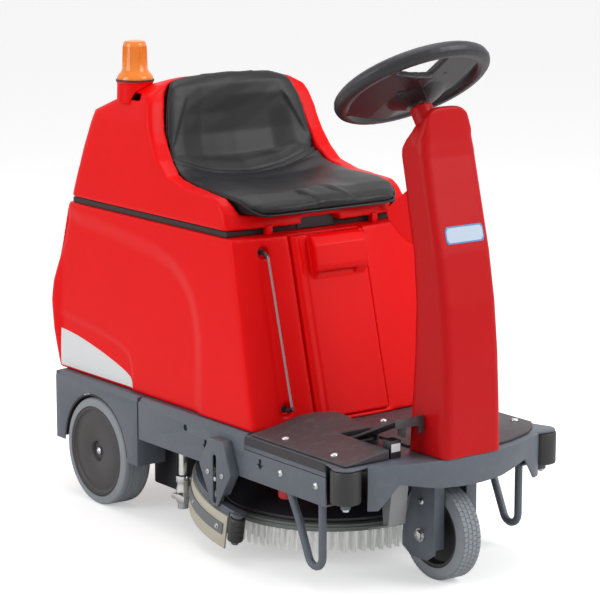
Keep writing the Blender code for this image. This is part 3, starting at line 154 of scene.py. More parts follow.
def surface(
    name,
    colour,
    rough,
    shade=0.9,
    patch=160,
    grain=1.2,
    height=0.15,
    polish=0.06,
    cells=False,
    dust=0.0,
    **shader,
):
    """A material whose colour drifts over patches, with uneven gloss and a fine grain.

    patch and grain are in millimetres, shade is the darkest share of the colour, and dust is how
    much pale dust lies in the dustiest patches.
    """
    made = bpy.data.materials.new(name)
    made.use_nodes = True
    tree = made.node_tree
    body = tree.nodes["Principled BSDF"]
    place = put(tree, "ShaderNodeTexCoord").outputs["Object"]
    drift = put(tree, "ShaderNodeTexNoise", {"Vector": place, "Scale": 1 / (patch * MM), "Detail": 4.0})
    low = (*(c * shade for c in colour), 1.0)
    tint = put(tree, "ShaderNodeMix", {0: drift.outputs[0], 6: low, 7: (*colour, 1.0)}, data_type="RGBA")
    kind = "ShaderNodeTexVoronoi" if cells else "ShaderNodeTexNoise"
    fine = put(tree, kind, {"Vector": place, "Scale": 1 / (grain * MM)}).outputs[0]
    gloss = put(
        tree, "ShaderNodeMapRange", {
            "Value": drift.outputs[0], "To Min": rough - polish, "To Max": rough + polish
        }
    )
    bump = put(tree, "ShaderNodeBump", {"Height": fine, "Strength": height, "Distance": grain * MM * 0.5})
    base = tint.outputs[2]
    if dust:
        soil = put(tree, "ShaderNodeTexNoise", {"Vector": place, "Scale": 55.0, "Detail": 6.0}).outputs[0]
        span = {"Value": soil, "From Min": 0.5, "From Max": 0.8, "To Max": dust}
        share = put(tree, "ShaderNodeMapRange", span).outputs[0]
        base = put(tree, "ShaderNodeMix", {0: share, 6: base, 7: DUST}, data_type="RGBA").outputs[2]
    for key, value in (("Base Color", base), ("Roughness", gloss.outputs[0]), ("Normal", bump.outputs[0])):
        tree.links.new(value, body.inputs[key])
    for key, value in shader.items():
        body.inputs[key.replace("_", " ")].default_value = value
    return made


FINISHES = {  # what it is: record slot, colour, roughness, the rest of its look
    # semi-gloss shells with the faint orange peel of a moulding tool
    "rotomoulded_polyethylene": (
        "red_shell",
        "body",
        0.36,
        dict(grain=1.6, height=0.10, shade=0.94, Specular_IOR_Level=0.13),
    ),
    # the column is smoother and a little deeper in colour
    "column_polyethylene": (
        "column_red",
        "column",
        0.38,
        dict(grain=1.2, height=0.08, shade=0.94, Specular_IOR_Level=0.16),
    ),
    # satin paint with the slight pebble of powder that has flowed out
    "powder_coat": ("frame_paint", "paint", 0.42, dict(grain=0.8, height=0.12, shade=0.88, dust=0.05)),
    # dull non-marking rubber, paler where it has rubbed
    "grey_rubber": (
        "tyre_grey", "tyre", 0.72, dict(grain=0.9, height=0.25, shade=0.82, patch=40, dust=0.12)
    ),
    # satin moulded discs, almost without grain
    "nylon_hub": ("hub_plastic", "hub", 0.46, dict(grain=0.7, height=0.10, shade=0.88)),
    # black rollers with a low sheen
    "nitrile_rubber": ("roller_rubber", "2A2A2B", 0.44, dict(grain=0.8, height=0.12, shade=0.8)),
    # leather-grained cover with a soft satin shine
    "coated_vinyl": (
        "seat_vinyl",
        "vinyl",
        0.44,
        dict(grain=1.1, height=0.07, cells=True, shade=0.85, polish=0.05, Specular_IOR_Level=0.34),
    ),
    # glossy see-through orange that glows where it is thin
    "amber_polycarbonate": (
        "amber_lens",
        "lens",
        0.16,
        dict(grain=2.0, height=0.05, shade=0.85, patch=30, polish=0.03, Transmission_Weight=0.08, IOR=1.58),
    ),
    # ribbed foot mats, scuffed by shoes
    "moulded_vinyl_mat": (
        "floor_mat", "mat", 0.55, dict(grain=1.4, height=0.35, shade=0.75, patch=70, dust=0.10)
    ),
    # bright zinc plate with a faint mottle
    "plated_steel": (
        "steel", "C9CACC", 0.27, dict(grain=0.6, height=0.05, shade=0.8, patch=12, Metallic=1.0)
    ),
    # mirror-like plate on turned fittings
    "chromed_brass": (
        "chrome",
        "CFCFCF",
        0.16,
        dict(grain=1.0, height=0.04, shade=0.85, patch=10, Metallic=1.0, polish=0.04),
    ),
    # sand-cast skin, matt and grainy
    "cast_aluminium": (
        "cast_alloy", "8E8F90", 0.46, dict(grain=0.9, height=0.40, shade=0.8, patch=20, Metallic=0.85)
    ),
    # fine spark-eroded texture of small mouldings
    "black_abs": ("black_plastic", "black", 0.42, dict(grain=0.7, height=0.14, shade=0.85)),
    # fine-grained foam skin of the steering wheel
    "wheel_grip_foam": ("wheel_grip", "black", 0.40, dict(grain=0.8, height=0.22, shade=0.88, cells=True)),
    # dull turned block, a little waxy
    "brush_polypropylene": ("brush_body", "brush", 0.5, dict(grain=0.9, height=0.12, shade=0.85)),
    # translucent white filament; its faint glow is painted light, a weak emission that brightens it in the
    # shade under the deck
    "white_nylon": (
        "bristle_nylon",
        "F7F8F6",
        0.5,
        dict(
            grain=2.0,
            height=0.02,
            shade=0.92,
            patch=12,
            # painted glow: the filaments emit a little white light
            Emission_Color=(1, 1, 1, 1),
            Emission_Strength=0.06,
        ),
    ),
    # pale smooth lip, dusty where it wipes
    "blade_polyurethane": (
        "blade_rubber", "blade", 0.5, dict(grain=1.0, height=0.08, shade=0.86, patch=30, dust=0.05)
    ),
    # plain satin strap
    "grey_polyamide": ("grey_plastic", "6D7173", 0.45, dict(grain=0.8, height=0.10, shade=0.88)),
    # dull open-cell sealing foam
    "neoprene_foam": ("grey_plastic", "3A3635", 0.85, dict(grain=1.2, height=0.40, shade=0.75, patch=20)),
    # glossy tube, clear enough to darken against the tank
    "clear_vinyl": (
        "clear_tube",
        "B5AFB4",
        0.14,
        dict(grain=3.0, height=0.03, shade=0.8, patch=8, Transmission_Weight=0.45),
    ),
    # shiny red moulding, smoother than the shells
    "red_filter_cup": ("filter_red", "B4141A", 0.3, dict(grain=1.0, height=0.06, shade=0.85)),
    # matt film without any print; the next two are the column's plate and its border
    "pale_film": (None, "DDDFE0", 0.38, dict(grain=1.0, height=0.03, shade=0.96, polish=0.03)),
    "pale_plate": (None, "B9C9DA", 0.34, dict(grain=1.0, height=0.03, shade=0.95, polish=0.03)),
    "blue_edge": (None, "4C86C0", 0.34, dict(grain=1.0, height=0.03, shade=0.95, polish=0.03)),
}


def finish(key):
    """The material for one of FINISHES, made the first time it is asked for."""
    if key not in bpy.data.materials:
        _, colour, rough, rest = FINISHES[key]
        settings = bpy.context.scene.scrubber_colours
        colour = tuple(getattr(settings, colour)) if hasattr(settings, colour) else linear(colour)
        surface(key, colour, rough, **rest)
    return bpy.data.materials[key]


# ---------------------------------------------------------------- shape tools
def new_object(name, mesh):
    obj = bpy.data.objects.new(name, mesh)
    bpy.context.scene.collection.objects.link(obj)
    return obj


def evaluated(obj):
    """Applies every modifier of obj, leaving a plain mesh."""
    graph = bpy.context.evaluated_depsgraph_get()
    made = bpy.data.meshes.new_from_object(obj.evaluated_get(graph))
    obj.modifiers.clear()
    obj.data = made
    return obj


def settled(obj, material, body, stands_for=(), sharp=40):
    """Dresses a finished piece and seats it on its body."""
    obj.data.name = obj.name
    obj.data.materials.clear()
    obj.data.materials.append(finish(material))
    obj.data.shade_smooth()
    obj.data.set_sharp_from_angle(angle=radians(sharp))
    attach(obj, body)
    if stands_for:
        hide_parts(*stands_for)
    return obj


def piece(name, bm, material, body, stands_for=(), sharp=40):
    """A piece from a bmesh in the row frame, merged and with its faces turned outwards."""
    bmesh.ops.remove_doubles(bm, verts=bm.verts, dist=1e-6)
    bmesh.ops.recalc_face_normals(bm, faces=bm.faces)
    mesh = bpy.data.meshes.new(name)
    bm.to_mesh(mesh)
    bm.free()
    return settled(new_object(name, mesh), material, body, stands_for, sharp)


def cad_copy(node):
    """A CAD node's loose triangles merged, with each flat area made one face."""
    bm = bmesh.new()
    bm.from_mesh(frame["nodes"][node].data)
    bmesh.ops.remove_doubles(bm, verts=bm.verts, dist=2e-5)
    bmesh.ops.dissolve_limit(bm, angle_limit=radians(0.6), verts=bm.verts, edges=bm.edges)
    return bm


def copy_object(node):
    mesh = bpy.data.meshes.new(node + "_form")
    bm = cad_copy(node)
    bm.to_mesh(mesh)
    bm.free()
    return new_object(node + "_form", mesh)


def body_of(node):
    return frame["nodes"][node]["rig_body"]


def rounded(node, material, radius=1.0, sharp=35):
    """A CAD piece with its sharp edges rounded off; the radius is in millimetres."""
    obj = copy_object(node)
    bevel = obj.modifiers.new("Bevel", "BEVEL")
    bevel.width = radius * MM
    bevel.segments = 2
    bevel.limit_method = "ANGLE"
    bevel.angle_limit = radians(28)
    bevel.use_clamp_overlap = True
    return settled(evaluated(obj), material, body_of(node), (node,), sharp)


def moulded(node, material, mesh_size, rounds, shape=None):
    """A CAD piece as a soft-edged moulding; shape turns its points and normals into the points moved."""
    target = copy_object(node)
    obj = copy_object(node)
    remesh = obj.modifiers.new("Remesh", "REMESH")
    remesh.mode = "VOXEL"
    remesh.voxel_size = mesh_size
    wrap = obj.modifiers.new("Wrap", "SHRINKWRAP")
    wrap.target = target
    smooth = obj.modifiers.new("Smooth", "SMOOTH")
    smooth.iterations = rounds
    evaluated(obj)
    bpy.data.objects.remove(target)
    obj.name = node + "_form"
    if shape:
        reshaped(obj, shape)
    return settled(obj, material, body_of(node), (node,), 60)


def reshaped(obj, shape):
    mesh = obj.data
    points = np.empty(len(mesh.vertices) * 3)
    normals = np.empty(len(mesh.vertices) * 3, np.float32)
    mesh.vertices.foreach_get("co", points)
    mesh.vertex_normals.foreach_get("vector", normals)
    moved = shape(points.reshape(-1, 3), normals.reshape(-1, 3).astype(float))
    mesh.vertices.foreach_set("co", moved.ravel())
    mesh.update()


def surface_of(name):
    """A finished piece's faces, for rays to be cast on."""
    return BVHTree.FromObject(bpy.data.objects[name], bpy.context.evaluated_depsgraph_get())


def step(x):
    """0 below 0, 1 above 1 and smooth between."""
    x = np.clip(x, 0, 1)
    return x * x * (3 - 2 * x)


def signed_distance(points, outline):
    """Distance of 2-D points from a closed outline, positive inside it."""
    nearest = np.full(len(points), 1e9)
    inside = np.zeros(len(points), bool)
    for (ax, ay), (bx, by) in zip(outline, outline[1:] + outline[:1]):
        a, run = np.array((ax, ay)), np.array((bx - ax, by - ay))
        share = np.clip((points - a) @ run / (run @ run), 0, 1)
        nearest = np.minimum(nearest, np.linalg.norm(points - a - share[:, None] * run, axis=1))
        crosses = (ay > points[:, 1]) != (by > points[:, 1])
        reach = ax + (points[:, 1] - ay) * (bx - ax) / (by - ay if by != ay else 1e-12)
        inside ^= crosses & (points[:, 0] < reach)
    return np.where(inside, nearest, -nearest)


def spin(bm, profile, centre=(0, 0, 0), axis=(0, 0, 1), steps=64):
    """Adds a closed (radius, height) outline turned about an axis through centre."""
    turn = Vector((0, 0, 1)).rotation_difference(Vector(axis)).to_matrix()
    rings = []
    for radius, height in profile:
        count = 1 if radius < 1e-9 else steps
        spots = [
            Vector((radius * cos(2 * pi * k / steps), radius * sin(2 * pi * k / steps), height))
            for k in range(count)
        ]
        rings.append([bm.verts.new(Vector(centre) + turn @ spot) for spot in spots])
    open_ended = len(rings[0]) == 1 and len(rings[-1]) == 1
    for low, high in list(zip(rings, rings[1:])) + ([] if open_ended else [(rings[-1], rings[0])]):
        for k in range(steps):
            near, far = (k % len(low), (k + 1) % len(low)), (k % len(high), (k + 1) % len(high))
            corners = list(dict.fromkeys([low[near[0]], low[near[1]], high[far[1]], high[far[0]]]))
            if len(corners) > 2:
                bm.faces.new(corners)
    return bm


def block(bm, low, high, matrix=None):
    """Adds a box between two corners, then moved by a matrix."""
    made = bmesh.ops.create_cube(bm, size=1.0)["verts"]
    for vert in made:
        spot = Vector([l + (h - l) * (v + 0.5) for l, h, v in zip(low, high, vert.co)])
        vert.co = matrix @ spot if matrix else spot
    return made


def softened(bm, radius, segments=2, angle=30):
    """Rounds every edge sharper than an angle."""
    bm.normal_update()
    edges = [e for e in bm.edges if len(e.link_faces) == 2 and e.calc_face_angle(0) > radians(angle)]
    how = {"offset_type": "OFFSET", "affect": "EDGES", "clamp_overlap": True}
    bmesh.ops.bevel(bm, geom=edges, offset=radius, segments=segments, profile=0.5, **how)
    return bm


def pipe(bm, points, radius, sides=10, closed=False):
    """Adds a round bar along a line of points."""
    points = [Vector(p) for p in points]
    count = len(points)
    side = Vector((0, 0, 1))
    rings = []
    for i, point in enumerate(points):
        after = points[(i + 1) % count] if closed else points[min(i + 1, count - 1)]
        before = points[i - 1] if closed else points[max(i - 1, 0)]
        ahead = (after - before).normalized()
        if abs(ahead.dot(side)) > 0.95:
            side = ahead.orthogonal()
        side = (side - ahead * side.dot(ahead)).normalized()
        other = ahead.cross(side)
        spots = [side * cos(2 * pi * k / sides) + other * sin(2 * pi * k / sides) for k in range(sides)]
        rings.append([bm.verts.new(point + radius * spot) for spot in spots])
    for low, high in list(zip(rings, rings[1:])) + ([(rings[-1], rings[0])] if closed else []):
        for k in range(sides):
            bm.faces.new([low[k], low[(k + 1) % sides], high[(k + 1) % sides], high[k]])
    if not closed:
        bm.faces.new(rings[0][::-1])
        bm.faces.new(rings[-1])
    return bm


def smooth_line(points, steps=6):
    """A Catmull-Rom line through points."""
    points = [Vector(p) for p in points]
    made = []
    for i in range(len(points) - 1):
        p0, p1, p2, p3 = points[max(i - 1, 0)], points[i], points[i + 1], points[min(i + 2, len(points) - 1)]
        for k in range(steps):
            t = k / steps
            bend, swing = 2 * p0 - 5 * p1 + 4 * p2 - p3, 3 * p1 - p0 - 3 * p2 + p3
            made.append(0.5 * (2 * p1 + (p2 - p0) * t + bend * t**2 + swing * t**3))
    return made + [points[-1]]


# ---------------------------------------------------------------- geometry nodes
def node_tree(name, inputs):
    """A geometry tree with its named inputs, and its group input node."""
    tree = bpy.data.node_groups.new(name, "GeometryNodeTree")
    for label, kind in (("Geometry", "NodeSocketGeometry"), *inputs):
        tree.interface.new_socket(label, in_out="INPUT", socket_type=kind)
    tree.interface.new_socket("Geometry", in_out="OUTPUT", socket_type="NodeSocketGeometry")
    return tree, put(tree, "NodeGroupInput").outputs


def ends_in(tree, instances, material):
    """Ends a tree: the instances made real, in their material."""
    real = put(tree, "GeometryNodeRealizeInstances", {0: instances}).outputs[0]
    dressed = put(tree, "GeometryNodeSetMaterial", {"Geometry": real, "Material": material}).outputs[0]
    put(tree, "NodeGroupOutput", {0: dressed})
    return tree


def placed_tree():
    """Stands a shape on each point, its +Z along the point's facing attribute."""
    tree, given = node_tree(
        "Shapes on points", (
            ("Shape", "NodeSocketObject"), ("Size", "NodeSocketFloat"), ("Material", "NodeSocketMaterial")
        )
    )
    shape = put(
        tree, "GeometryNodeObjectInfo", {"Object": given["Shape"], "As Instance": True}
    ).outputs["Geometry"]
    facing = put(
        tree, "GeometryNodeInputNamedAttribute", {"Name": "facing"}, data_type="FLOAT_VECTOR"
    ).outputs["Attribute"]
    turn = put(tree, "FunctionNodeAlignRotationToVector", {"Vector": facing}, axis="Z").outputs[0]
    stood = put(
        tree,
        "GeometryNodeInstanceOnPoints",
        {"Points": given["Geometry"], "Instance": shape, "Rotation": turn, "Scale": given["Size"]},
    )
    return ends_in(tree, stood.outputs[0], given["Material"])


def ring_tree():
    """Stands a shape round a circle, its +X outwards, with a little random lean."""
    tree, given = node_tree(
        "Shapes round a circle",
        (
            ("Shape", "NodeSocketObject"),
            ("Count", "NodeSocketInt"),
            ("Radius", "NodeSocketFloat"),
            ("Start", "NodeSocketVector"),
            ("Lean", "NodeSocketFloat"),
            ("Seed", "NodeSocketInt"),
            ("Material", "NodeSocketMaterial"),
        ),
    )
    shape = put(
        tree, "GeometryNodeObjectInfo", {"Object": given["Shape"], "As Instance": True}
    ).outputs["Geometry"]
    circle = put(
        tree, "GeometryNodeMeshCircle", {"Vertices": given["Count"], "Radius": given["Radius"]}
    ).outputs[0]
    away = put(tree, "GeometryNodeInputPosition").outputs[0]
    turn = put(
        tree, "FunctionNodeAlignRotationToVector", {"Vector": away}, axis="X", pivot_axis="Z"
    ).outputs[0]
    stood = put(
        tree, "GeometryNodeInstanceOnPoints", {"Points": circle, "Instance": shape, "Rotation": turn}
    ).outputs[0]
    least = put(tree, "ShaderNodeMath", {0: given["Lean"], 1: -1.0}, operation="MULTIPLY").outputs[0]
    low = put(tree, "ShaderNodeCombineXYZ", {0: least, 1: least}).outputs[0]
    high = put(tree, "ShaderNodeCombineXYZ", {0: given["Lean"], 1: given["Lean"]}).outputs[0]
    lean = put(
        tree, "FunctionNodeRandomValue", {0: low, 1: high, "Seed": given["Seed"]}, data_type="FLOAT_VECTOR"
    ).outputs[0]
    leant = put(tree, "GeometryNodeRotateInstances", {"Instances": stood, "Rotation": lean}).outputs[0]
    turned = put(tree, "GeometryNodeTransform", {"Geometry": leant, "Rotation": given["Start"]}).outputs[0]
    return ends_in(tree, turned, given["Material"])


def grown(name, tree, start, values):
    """The plain mesh that a geometry tree makes from a start mesh."""
    obj = new_object(name, start)
    modifier = obj.modifiers.new("Grow", "NODES")
    modifier.node_group = tree
    for socket in tree.interface.items_tree:
        if socket.in_out == "INPUT" and socket.name in values:
            modifier[socket.identifier] = values[socket.name]
    obj.update_tag()
    return evaluated(obj)


def merged(name, objs, matrix=None):
    """Several objects' meshes as one object, moved by a matrix."""
    bm = bmesh.new()
    for obj in objs:
        bm.from_mesh(obj.data)
        bpy.data.objects.remove(obj)
    bmesh.ops.transform(bm, matrix=matrix or Matrix.Identity(4), verts=bm.verts)
    mesh = bpy.data.meshes.new(name)
    bm.to_mesh(mesh)
    bm.free()
    return new_object(name, mesh)


def shape_object(bm):
    bmesh.ops.recalc_face_normals(bm, faces=bm.faces)
    mesh = bpy.data.meshes.new("shape")
    bm.to_mesh(mesh)
    bm.free()
    return new_object("shape", mesh)


def scattered(name, shape, places, material, body, size=1.0):
    """A shape stood on each (point, facing) of places, as one piece."""
    start = bpy.data.meshes.new(name)
    start.from_pydata([tuple(p) for p, _ in places], [], [])
    start.attributes.new("facing", "FLOAT_VECTOR", "POINT").data.foreach_set(
        "vector", [c for _, facing in places for c in Vector(facing).normalized()]
    )
    pattern = shape_object(shape)
    values = {"Shape": pattern, "Size": size, "Material": finish(material)}
    obj = grown(name, placed_tree(), start, values)
    bpy.data.objects.remove(pattern)
    return settled(obj, material, body)


def rings(name, shape, circles, material, matrix, body, stands_for=(), lean=0.0, base=None):
    """A shape stood round circles of (count, radius, start angle), with a base bmesh if given."""
    pattern = shape_object(shape)
    made = []
    for k, (count, radius, start) in enumerate(circles):
        values = {
            "Shape": pattern, "Count": count, "Radius": radius, "Start": (0.0, 0.0, start), "Lean": lean
        }
        values.update(Seed=k + 1, Material=finish(material))
        made.append(grown(name + str(k), ring_tree(), bpy.data.meshes.new(name), values))
    bpy.data.objects.remove(pattern)
    if base:
        made.append(shape_object(base))
    return settled(merged(name, made, matrix), material, body, stands_for)


# ---------------------------------------------------------------- bodywork
ARCH = (
    (1.30, 0.735),
    (1.079, 0.722),
    (1.043, 0.712),
    (0.943, 0.705),
    (0.812, 0.691),
    (0.706, 0.677),
    (0.635, 0.657),
)
ARCH += (
    (0.587, 0.628),
    (0.547, 0.588),
    (0.524, 0.540),
    (0.508, 0.481),
    (0.502, 0.372),
    (0.500, 0.20),
    (1.30, 0.20),
)
LOW_PANEL = ((1.30, 0.460), (1.155, 0.451), (1.056, 0.442), (0.942, 0.431), (0.862, 0.415), (0.819, 0.397))
LOW_PANEL += ((0.802, 0.358), (0.799, 0.20), (1.30, 0.20))
ARCH_DEPTH, ARCH_WIDTH = 0.0085, 0.050
LOW_DEPTH, LOW_WIDTH = 0.0045, 0.020
HEAD_FOOT, HEAD_TOP = 0.950, 1.034  # heights between which the column's arch is drawn
CREST, SHOULDER, HEAD_HALF = 1.046, 0.058, 0.0735  # height of the arch, its drop at the sides, half its width
COLUMN_MESH, BASE_MESH = 0.0031, 0.0020


def on_row(outline):
    return [(y - MIDDLE, z) for y, z in outline]


def tank_relief(points, normals):
    """The wide hollow on each side of the tank, and the shallower one inside it, low at the rear."""
    flat = points[:, 1:]
    depth = ARCH_DEPTH * step(signed_distance(flat, on_row(ARCH)) / ARCH_WIDTH)
    depth += LOW_DEPTH * step(signed_distance(flat, on_row(LOW_PANEL)) / LOW_WIDTH)
    rear = step((1.175 - MIDDLE - points[:, 1]) / 0.05)
    side = step((np.abs(points[:, 0]) - 0.252) / 0.006)
    moved = points.copy()
    moved[:, 0] -= np.sign(points[:, 0]) * depth * side * rear
    return moved


def panel_relief(points, normals):
    """A rounded bead with a dip beside it, down the panel's right edge."""
    low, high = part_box("access_panel")
    bead = np.exp(-(((points[:, 0] - low.x - 0.012) / 0.0055) ** 2))
    dip = np.exp(-(((points[:, 0] - low.x - 0.026) / 0.0045) ** 2))
    front = step(-normals[:, 1] / 0.6)
    moved = points.copy()
    moved[:, 1] += front * (0.0016 * dip - 0.0022 * bead)
    return moved


def column_top(points, normals):
    """The column's head drawn into an arch, leaving the neck behind it as it is."""
    x, y, z = points.T
    crest = CREST - SHOULDER * (np.abs(x) / HEAD_HALF) ** 4
    share = (z - HEAD_FOOT) / (HEAD_TOP - HEAD_FOOT)
    arched = np.where(share > 0, HEAD_FOOT + share * (crest - HEAD_FOOT), z)
    front = step((0.010 - MIDDLE - y) / 0.012)
    moved = points.copy()
    moved[:, 2] += front * (arched - z)
    return moved


class SCRUBBER_OT_bodywork(bpy.types.Operator):
    """Tank, hood, panel and column with the soft edges of moulded shells"""

    bl_idname = "scrubber.bodywork"
    bl_label = "Bodywork"

    def execute(self, context):
        sizes = context.scene.scrubber_sizes
        red = "rotomoulded_polyethylene"
        moulded("tank_body", red, sizes.tank_mesh, 4, tank_relief)
        moulded("hood_shell", red, sizes.hood_mesh, 6)
        moulded("access_panel", red, sizes.fine_mesh, 4, panel_relief)
        moulded("column_cover", "column_polyethylene", COLUMN_MESH, 8, column_top)
        moulded("console_pod", red, sizes.fine_mesh, 5)
        moulded("beacon_base", red, BASE_MESH, 3)
        rounded("hood_gasket", "neoprene_foam", 2.0)
        rounded("battery_pack", "black_abs", 2.5)
        rounded("suction_motor", "black_abs", 2.0)
        tabs = bmesh.new()
        for x in (-0.151, 0.151):
            y = 0.4105 + 0.022 * (x / 0.28) ** 2
            block(tabs, at(x - 0.008, y - 0.004, 0.7235), at(x + 0.008, y + 0.012, 0.7450))
        piece("hood_tabs", softened(tabs, 0.002), red, "hood")
        self.sight_line()
        return {"FINISHED"}

    def sight_line(self):
        """A thin moulding line beside the level tube."""
        tank = surface_of("tank_body_form")
        points = []
        for k in range(25):
            z = 0.330 + 0.375 * k / 24
            spot = tank.ray_cast(at(-0.168, -0.5, z), Vector((0, 1, 0)))[0]
            points.append(spot + Vector((0, 0.0004, 0)))
        piece(
            "tank_moulding_line",
            pipe(bmesh.new(), points, 0.0013, 8),
            "rotomoulded_polyethylene",
            "chassis",
        )


# ---------------------------------------------------------------- seat
SEAT_EDGE = (  # station, height and half width along the pad's edge
    (0.3905, 0.7740, 0.186),
    (0.4100, 0.7860, 0.2065),
    (0.4400, 0.8010, 0.2190),
    (0.4900, 0.8090, 0.2255),
    (0.5870, 0.8150, 0.2160),
    (0.6460, 0.8200, 0.2165),
    (0.6950, 0.8330, 0.2110),
    (0.7340, 0.8660, 0.2050),
    (0.7500, 0.9150, 0.2015),
    (0.7620, 0.9620, 0.1935),
    (0.7710, 0.9970, 0.1840),
    (0.7810, 1.0250, 0.1715),
    (0.7910, 1.0345, 0.1580),
    (0.7990, 1.0405, 0.1340),
)
PLEATS = ((-0.052, 0.412), (0.036, 0.412))  # x and station of the two front pleats


def seat_shape(points, normals):
    """Seams, pleats and bolsters of the upholstered pad, on the side that is sat on."""
    x, y, z = points.T
    y = y + MIDDLE
    shown = step((normals @ np.array((0, -0.5, 0.86)) - 0.15) / 0.4)
    wide = x / 0.21
    seam_y, seam_z = 0.694 + 0.030 * wide**2, 0.826 + 0.034 * wide**2
    along = (y - seam_y) * 0.55 + (z - seam_z) * 0.83
    near = np.exp(-((((y - seam_y) * 0.83 - (z - seam_z) * 0.55) / 0.05) ** 2))
    strength = 0.45 + 0.55 * step((x + 0.2) / 0.4)
    out = np.zeros(len(points))
    for offset, depth in ((-0.0065, 0.0030), (0.0065, 0.0036)):
        out -= depth * np.exp(-(((along - offset) / 0.0028) ** 2))
    out += 0.0042 * np.exp(
        -(((along - 0.028) / 0.016) ** 2)
    ) + 0.0035 * np.exp(-(((along + 0.026) / 0.015) ** 2))
    out *= strength * near
    for px, py in PLEATS:
        turn = (x - px) + 0.55 * (y - py)
        run = np.exp(-(((y - py - 0.012) / 0.030) ** 2)) * (z < 0.84)
        out += run * (
            -0.0060 * np.exp(-((turn / 0.0050) ** 2)) + 0.0040 * np.exp(-(((turn - 0.014) / 0.010) ** 2))
        )
    bolster = step(
        (np.abs(x) - 0.118 - 0.52 * (1.030 - z)) / 0.012
    ) * step((z - 0.87) / 0.03) * step((1.012 - z) / 0.03)
    out += 0.0035 * bolster
    for sign in (-1, 1):  # long soft hollows where the thighs rest
        out -= 0.0045 * np.exp(-(((x - sign * 0.085) / 0.05) ** 2) - ((y - 0.50) / 0.10) ** 2) * (z < 0.84)
    wrinkle = np.sin(x * 61 + y * 23) * np.sin(y * 47 - x * 17)
    out += 0.0006 * wrinkle
    return points + normals * (out * shown)[:, None]


class SCRUBBER_OT_seat(bpy.types.Operator):
    """Upholstered bucket seat with seams, pleats and piping"""

    bl_idname = "scrubber.seat"
    bl_label = "Seat"

    def execute(self, context):
        sizes = context.scene.scrubber_sizes
        pad = moulded("seat_cushion", "coated_vinyl", sizes.seat_mesh, 14, seat_shape)
        left = [at(half, y, z) for y, z, half in SEAT_EDGE]
        head = [at(x, 0.8005, 1.0435) for x in (0.09, 0.0, -0.09)]
        right = [at(-half, y, z) for y, z, half in reversed(SEAT_EDGE)]
        foot = [at(x, 0.3865, 0.7720) for x in (-0.150, -0.075, 0.0, 0.075, 0.150)]
        loop = smooth_line(left + head + right + foot + left[:1])[:-1]
        edge = pipe(bmesh.new(), loop, sizes.piping, 8, closed=True)
        piece("seat_piping", edge, "coated_vinyl", "hood")
        clip = bmesh.new()
        block(clip, at(0.192, 0.398, 0.757), at(0.200, 0.410, 0.783))
        block(clip, at(0.190, 0.396, 0.748), at(0.202, 0.412, 0.762))
        piece("seat_clip", softened(clip, 0.0015), "black_abs", "hood")
        return {"FINISHED"}


# ---------------------------------------------------------------- beacon
DOME_TAPER = -0.033  # how far the dome's side leans in for each metre of height


class SCRUBBER_OT_beacon(bpy.types.Operator):
    """Fluted amber dome with its reflector, lamp and seat ring"""

    bl_idname = "scrubber.beacon"
    bl_label = "Beacon"

    def execute(self, context):
        low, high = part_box("beacon_lens")
        x, y = (low.x + high.x) / 2, (low.y + high.y) / 2
        tall = high.z - low.z
        outer = [
            (0.0425, 0.0),
            (0.0428, 0.006),
            (0.0400, 0.0115),
            (0.0330, 0.019),
            (0.0302, 0.026),
            (0.0290, 0.050),
        ]
        outer += [(0.0272, 0.082), (0.0262, 0.087), (0.0235, 0.0905), (0.012, tall - 0.0003), (0, tall)]
        inner = [
            (0, tall - 0.004),
            (0.0215, 0.086),
            (0.0245, 0.080),
            (0.0270, 0.026),
            (0.0306, 0.013),
            (0.0306, 0.0),
        ]
        dome = spin(bmesh.new(), inner + outer, steps=96)
        flute = bmesh.new()
        taper = Matrix.Shear("XY", 4, (DOME_TAPER, 0.0))
        block(flute, (-0.0009, -0.0008, 0.030), (0.0010, 0.0008, 0.079), taper)
        ring = [(context.scene.scrubber_sizes.flutes, 0.0300, 0.0)]
        place = Matrix.Translation((x, y, low.z))
        rings("beacon_dome", flute, ring, "amber_polycarbonate", place, "hood", ("beacon_lens",), base=dome)
        base = (x, y, low.z)
        seat = [
            (0.0300, -0.0042),
            (0.0440, -0.0042),
            (0.0455, -0.003),
            (0.0455, 0.0005),
            (0.0435, 0.0012),
            (0.0300, -0.0004),
        ]
        piece("beacon_ring", spin(bmesh.new(), seat, base), "black_abs", "hood")
        lamp = [(0, 0.008), (0.020, 0.008), (0.020, 0.014), (0.009, 0.018), (0.009, 0.040), (0.014, 0.046)]
        lamp += [(0.015, 0.058), (0.008, 0.068), (0, 0.070)]
        piece("beacon_lamp", spin(bmesh.new(), lamp, base, steps=32), "chromed_brass", "hood")
        return {"FINISHED"}


# ---------------------------------------------------------------- steering
WHEEL_TILT = radians(32)
RIM_ABOVE_BUTTON = 0.0085


def wheel_place():
    """The steering wheel's own frame: origin in the middle of the rim's plane, +Z up its axis."""
    low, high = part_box("horn_button")
    middle = (low + high) / 2
    tilt = Matrix.Rotation(-WHEEL_TILT, 4, "X")
    return Matrix.Translation(middle + tilt @ Vector((0, 0, RIM_ABOVE_BUTTON))) @ tilt


# pipes as (start, end), and dark discs of painted shade for the recesses as (x, y, radius), in the wheel's
# own frame
WHEEL_RIBS = (((-0.098, -0.084), (-0.030, -0.007)), ((-0.056, -0.088), (0.024, 0.001)))
RECESS_SHADES = ((-0.062, -0.026, 0.0085), (-0.080, 0.078, 0.0032), (-0.100, 0.086, 0.0032), (0.016, -0.092, 0.0040))


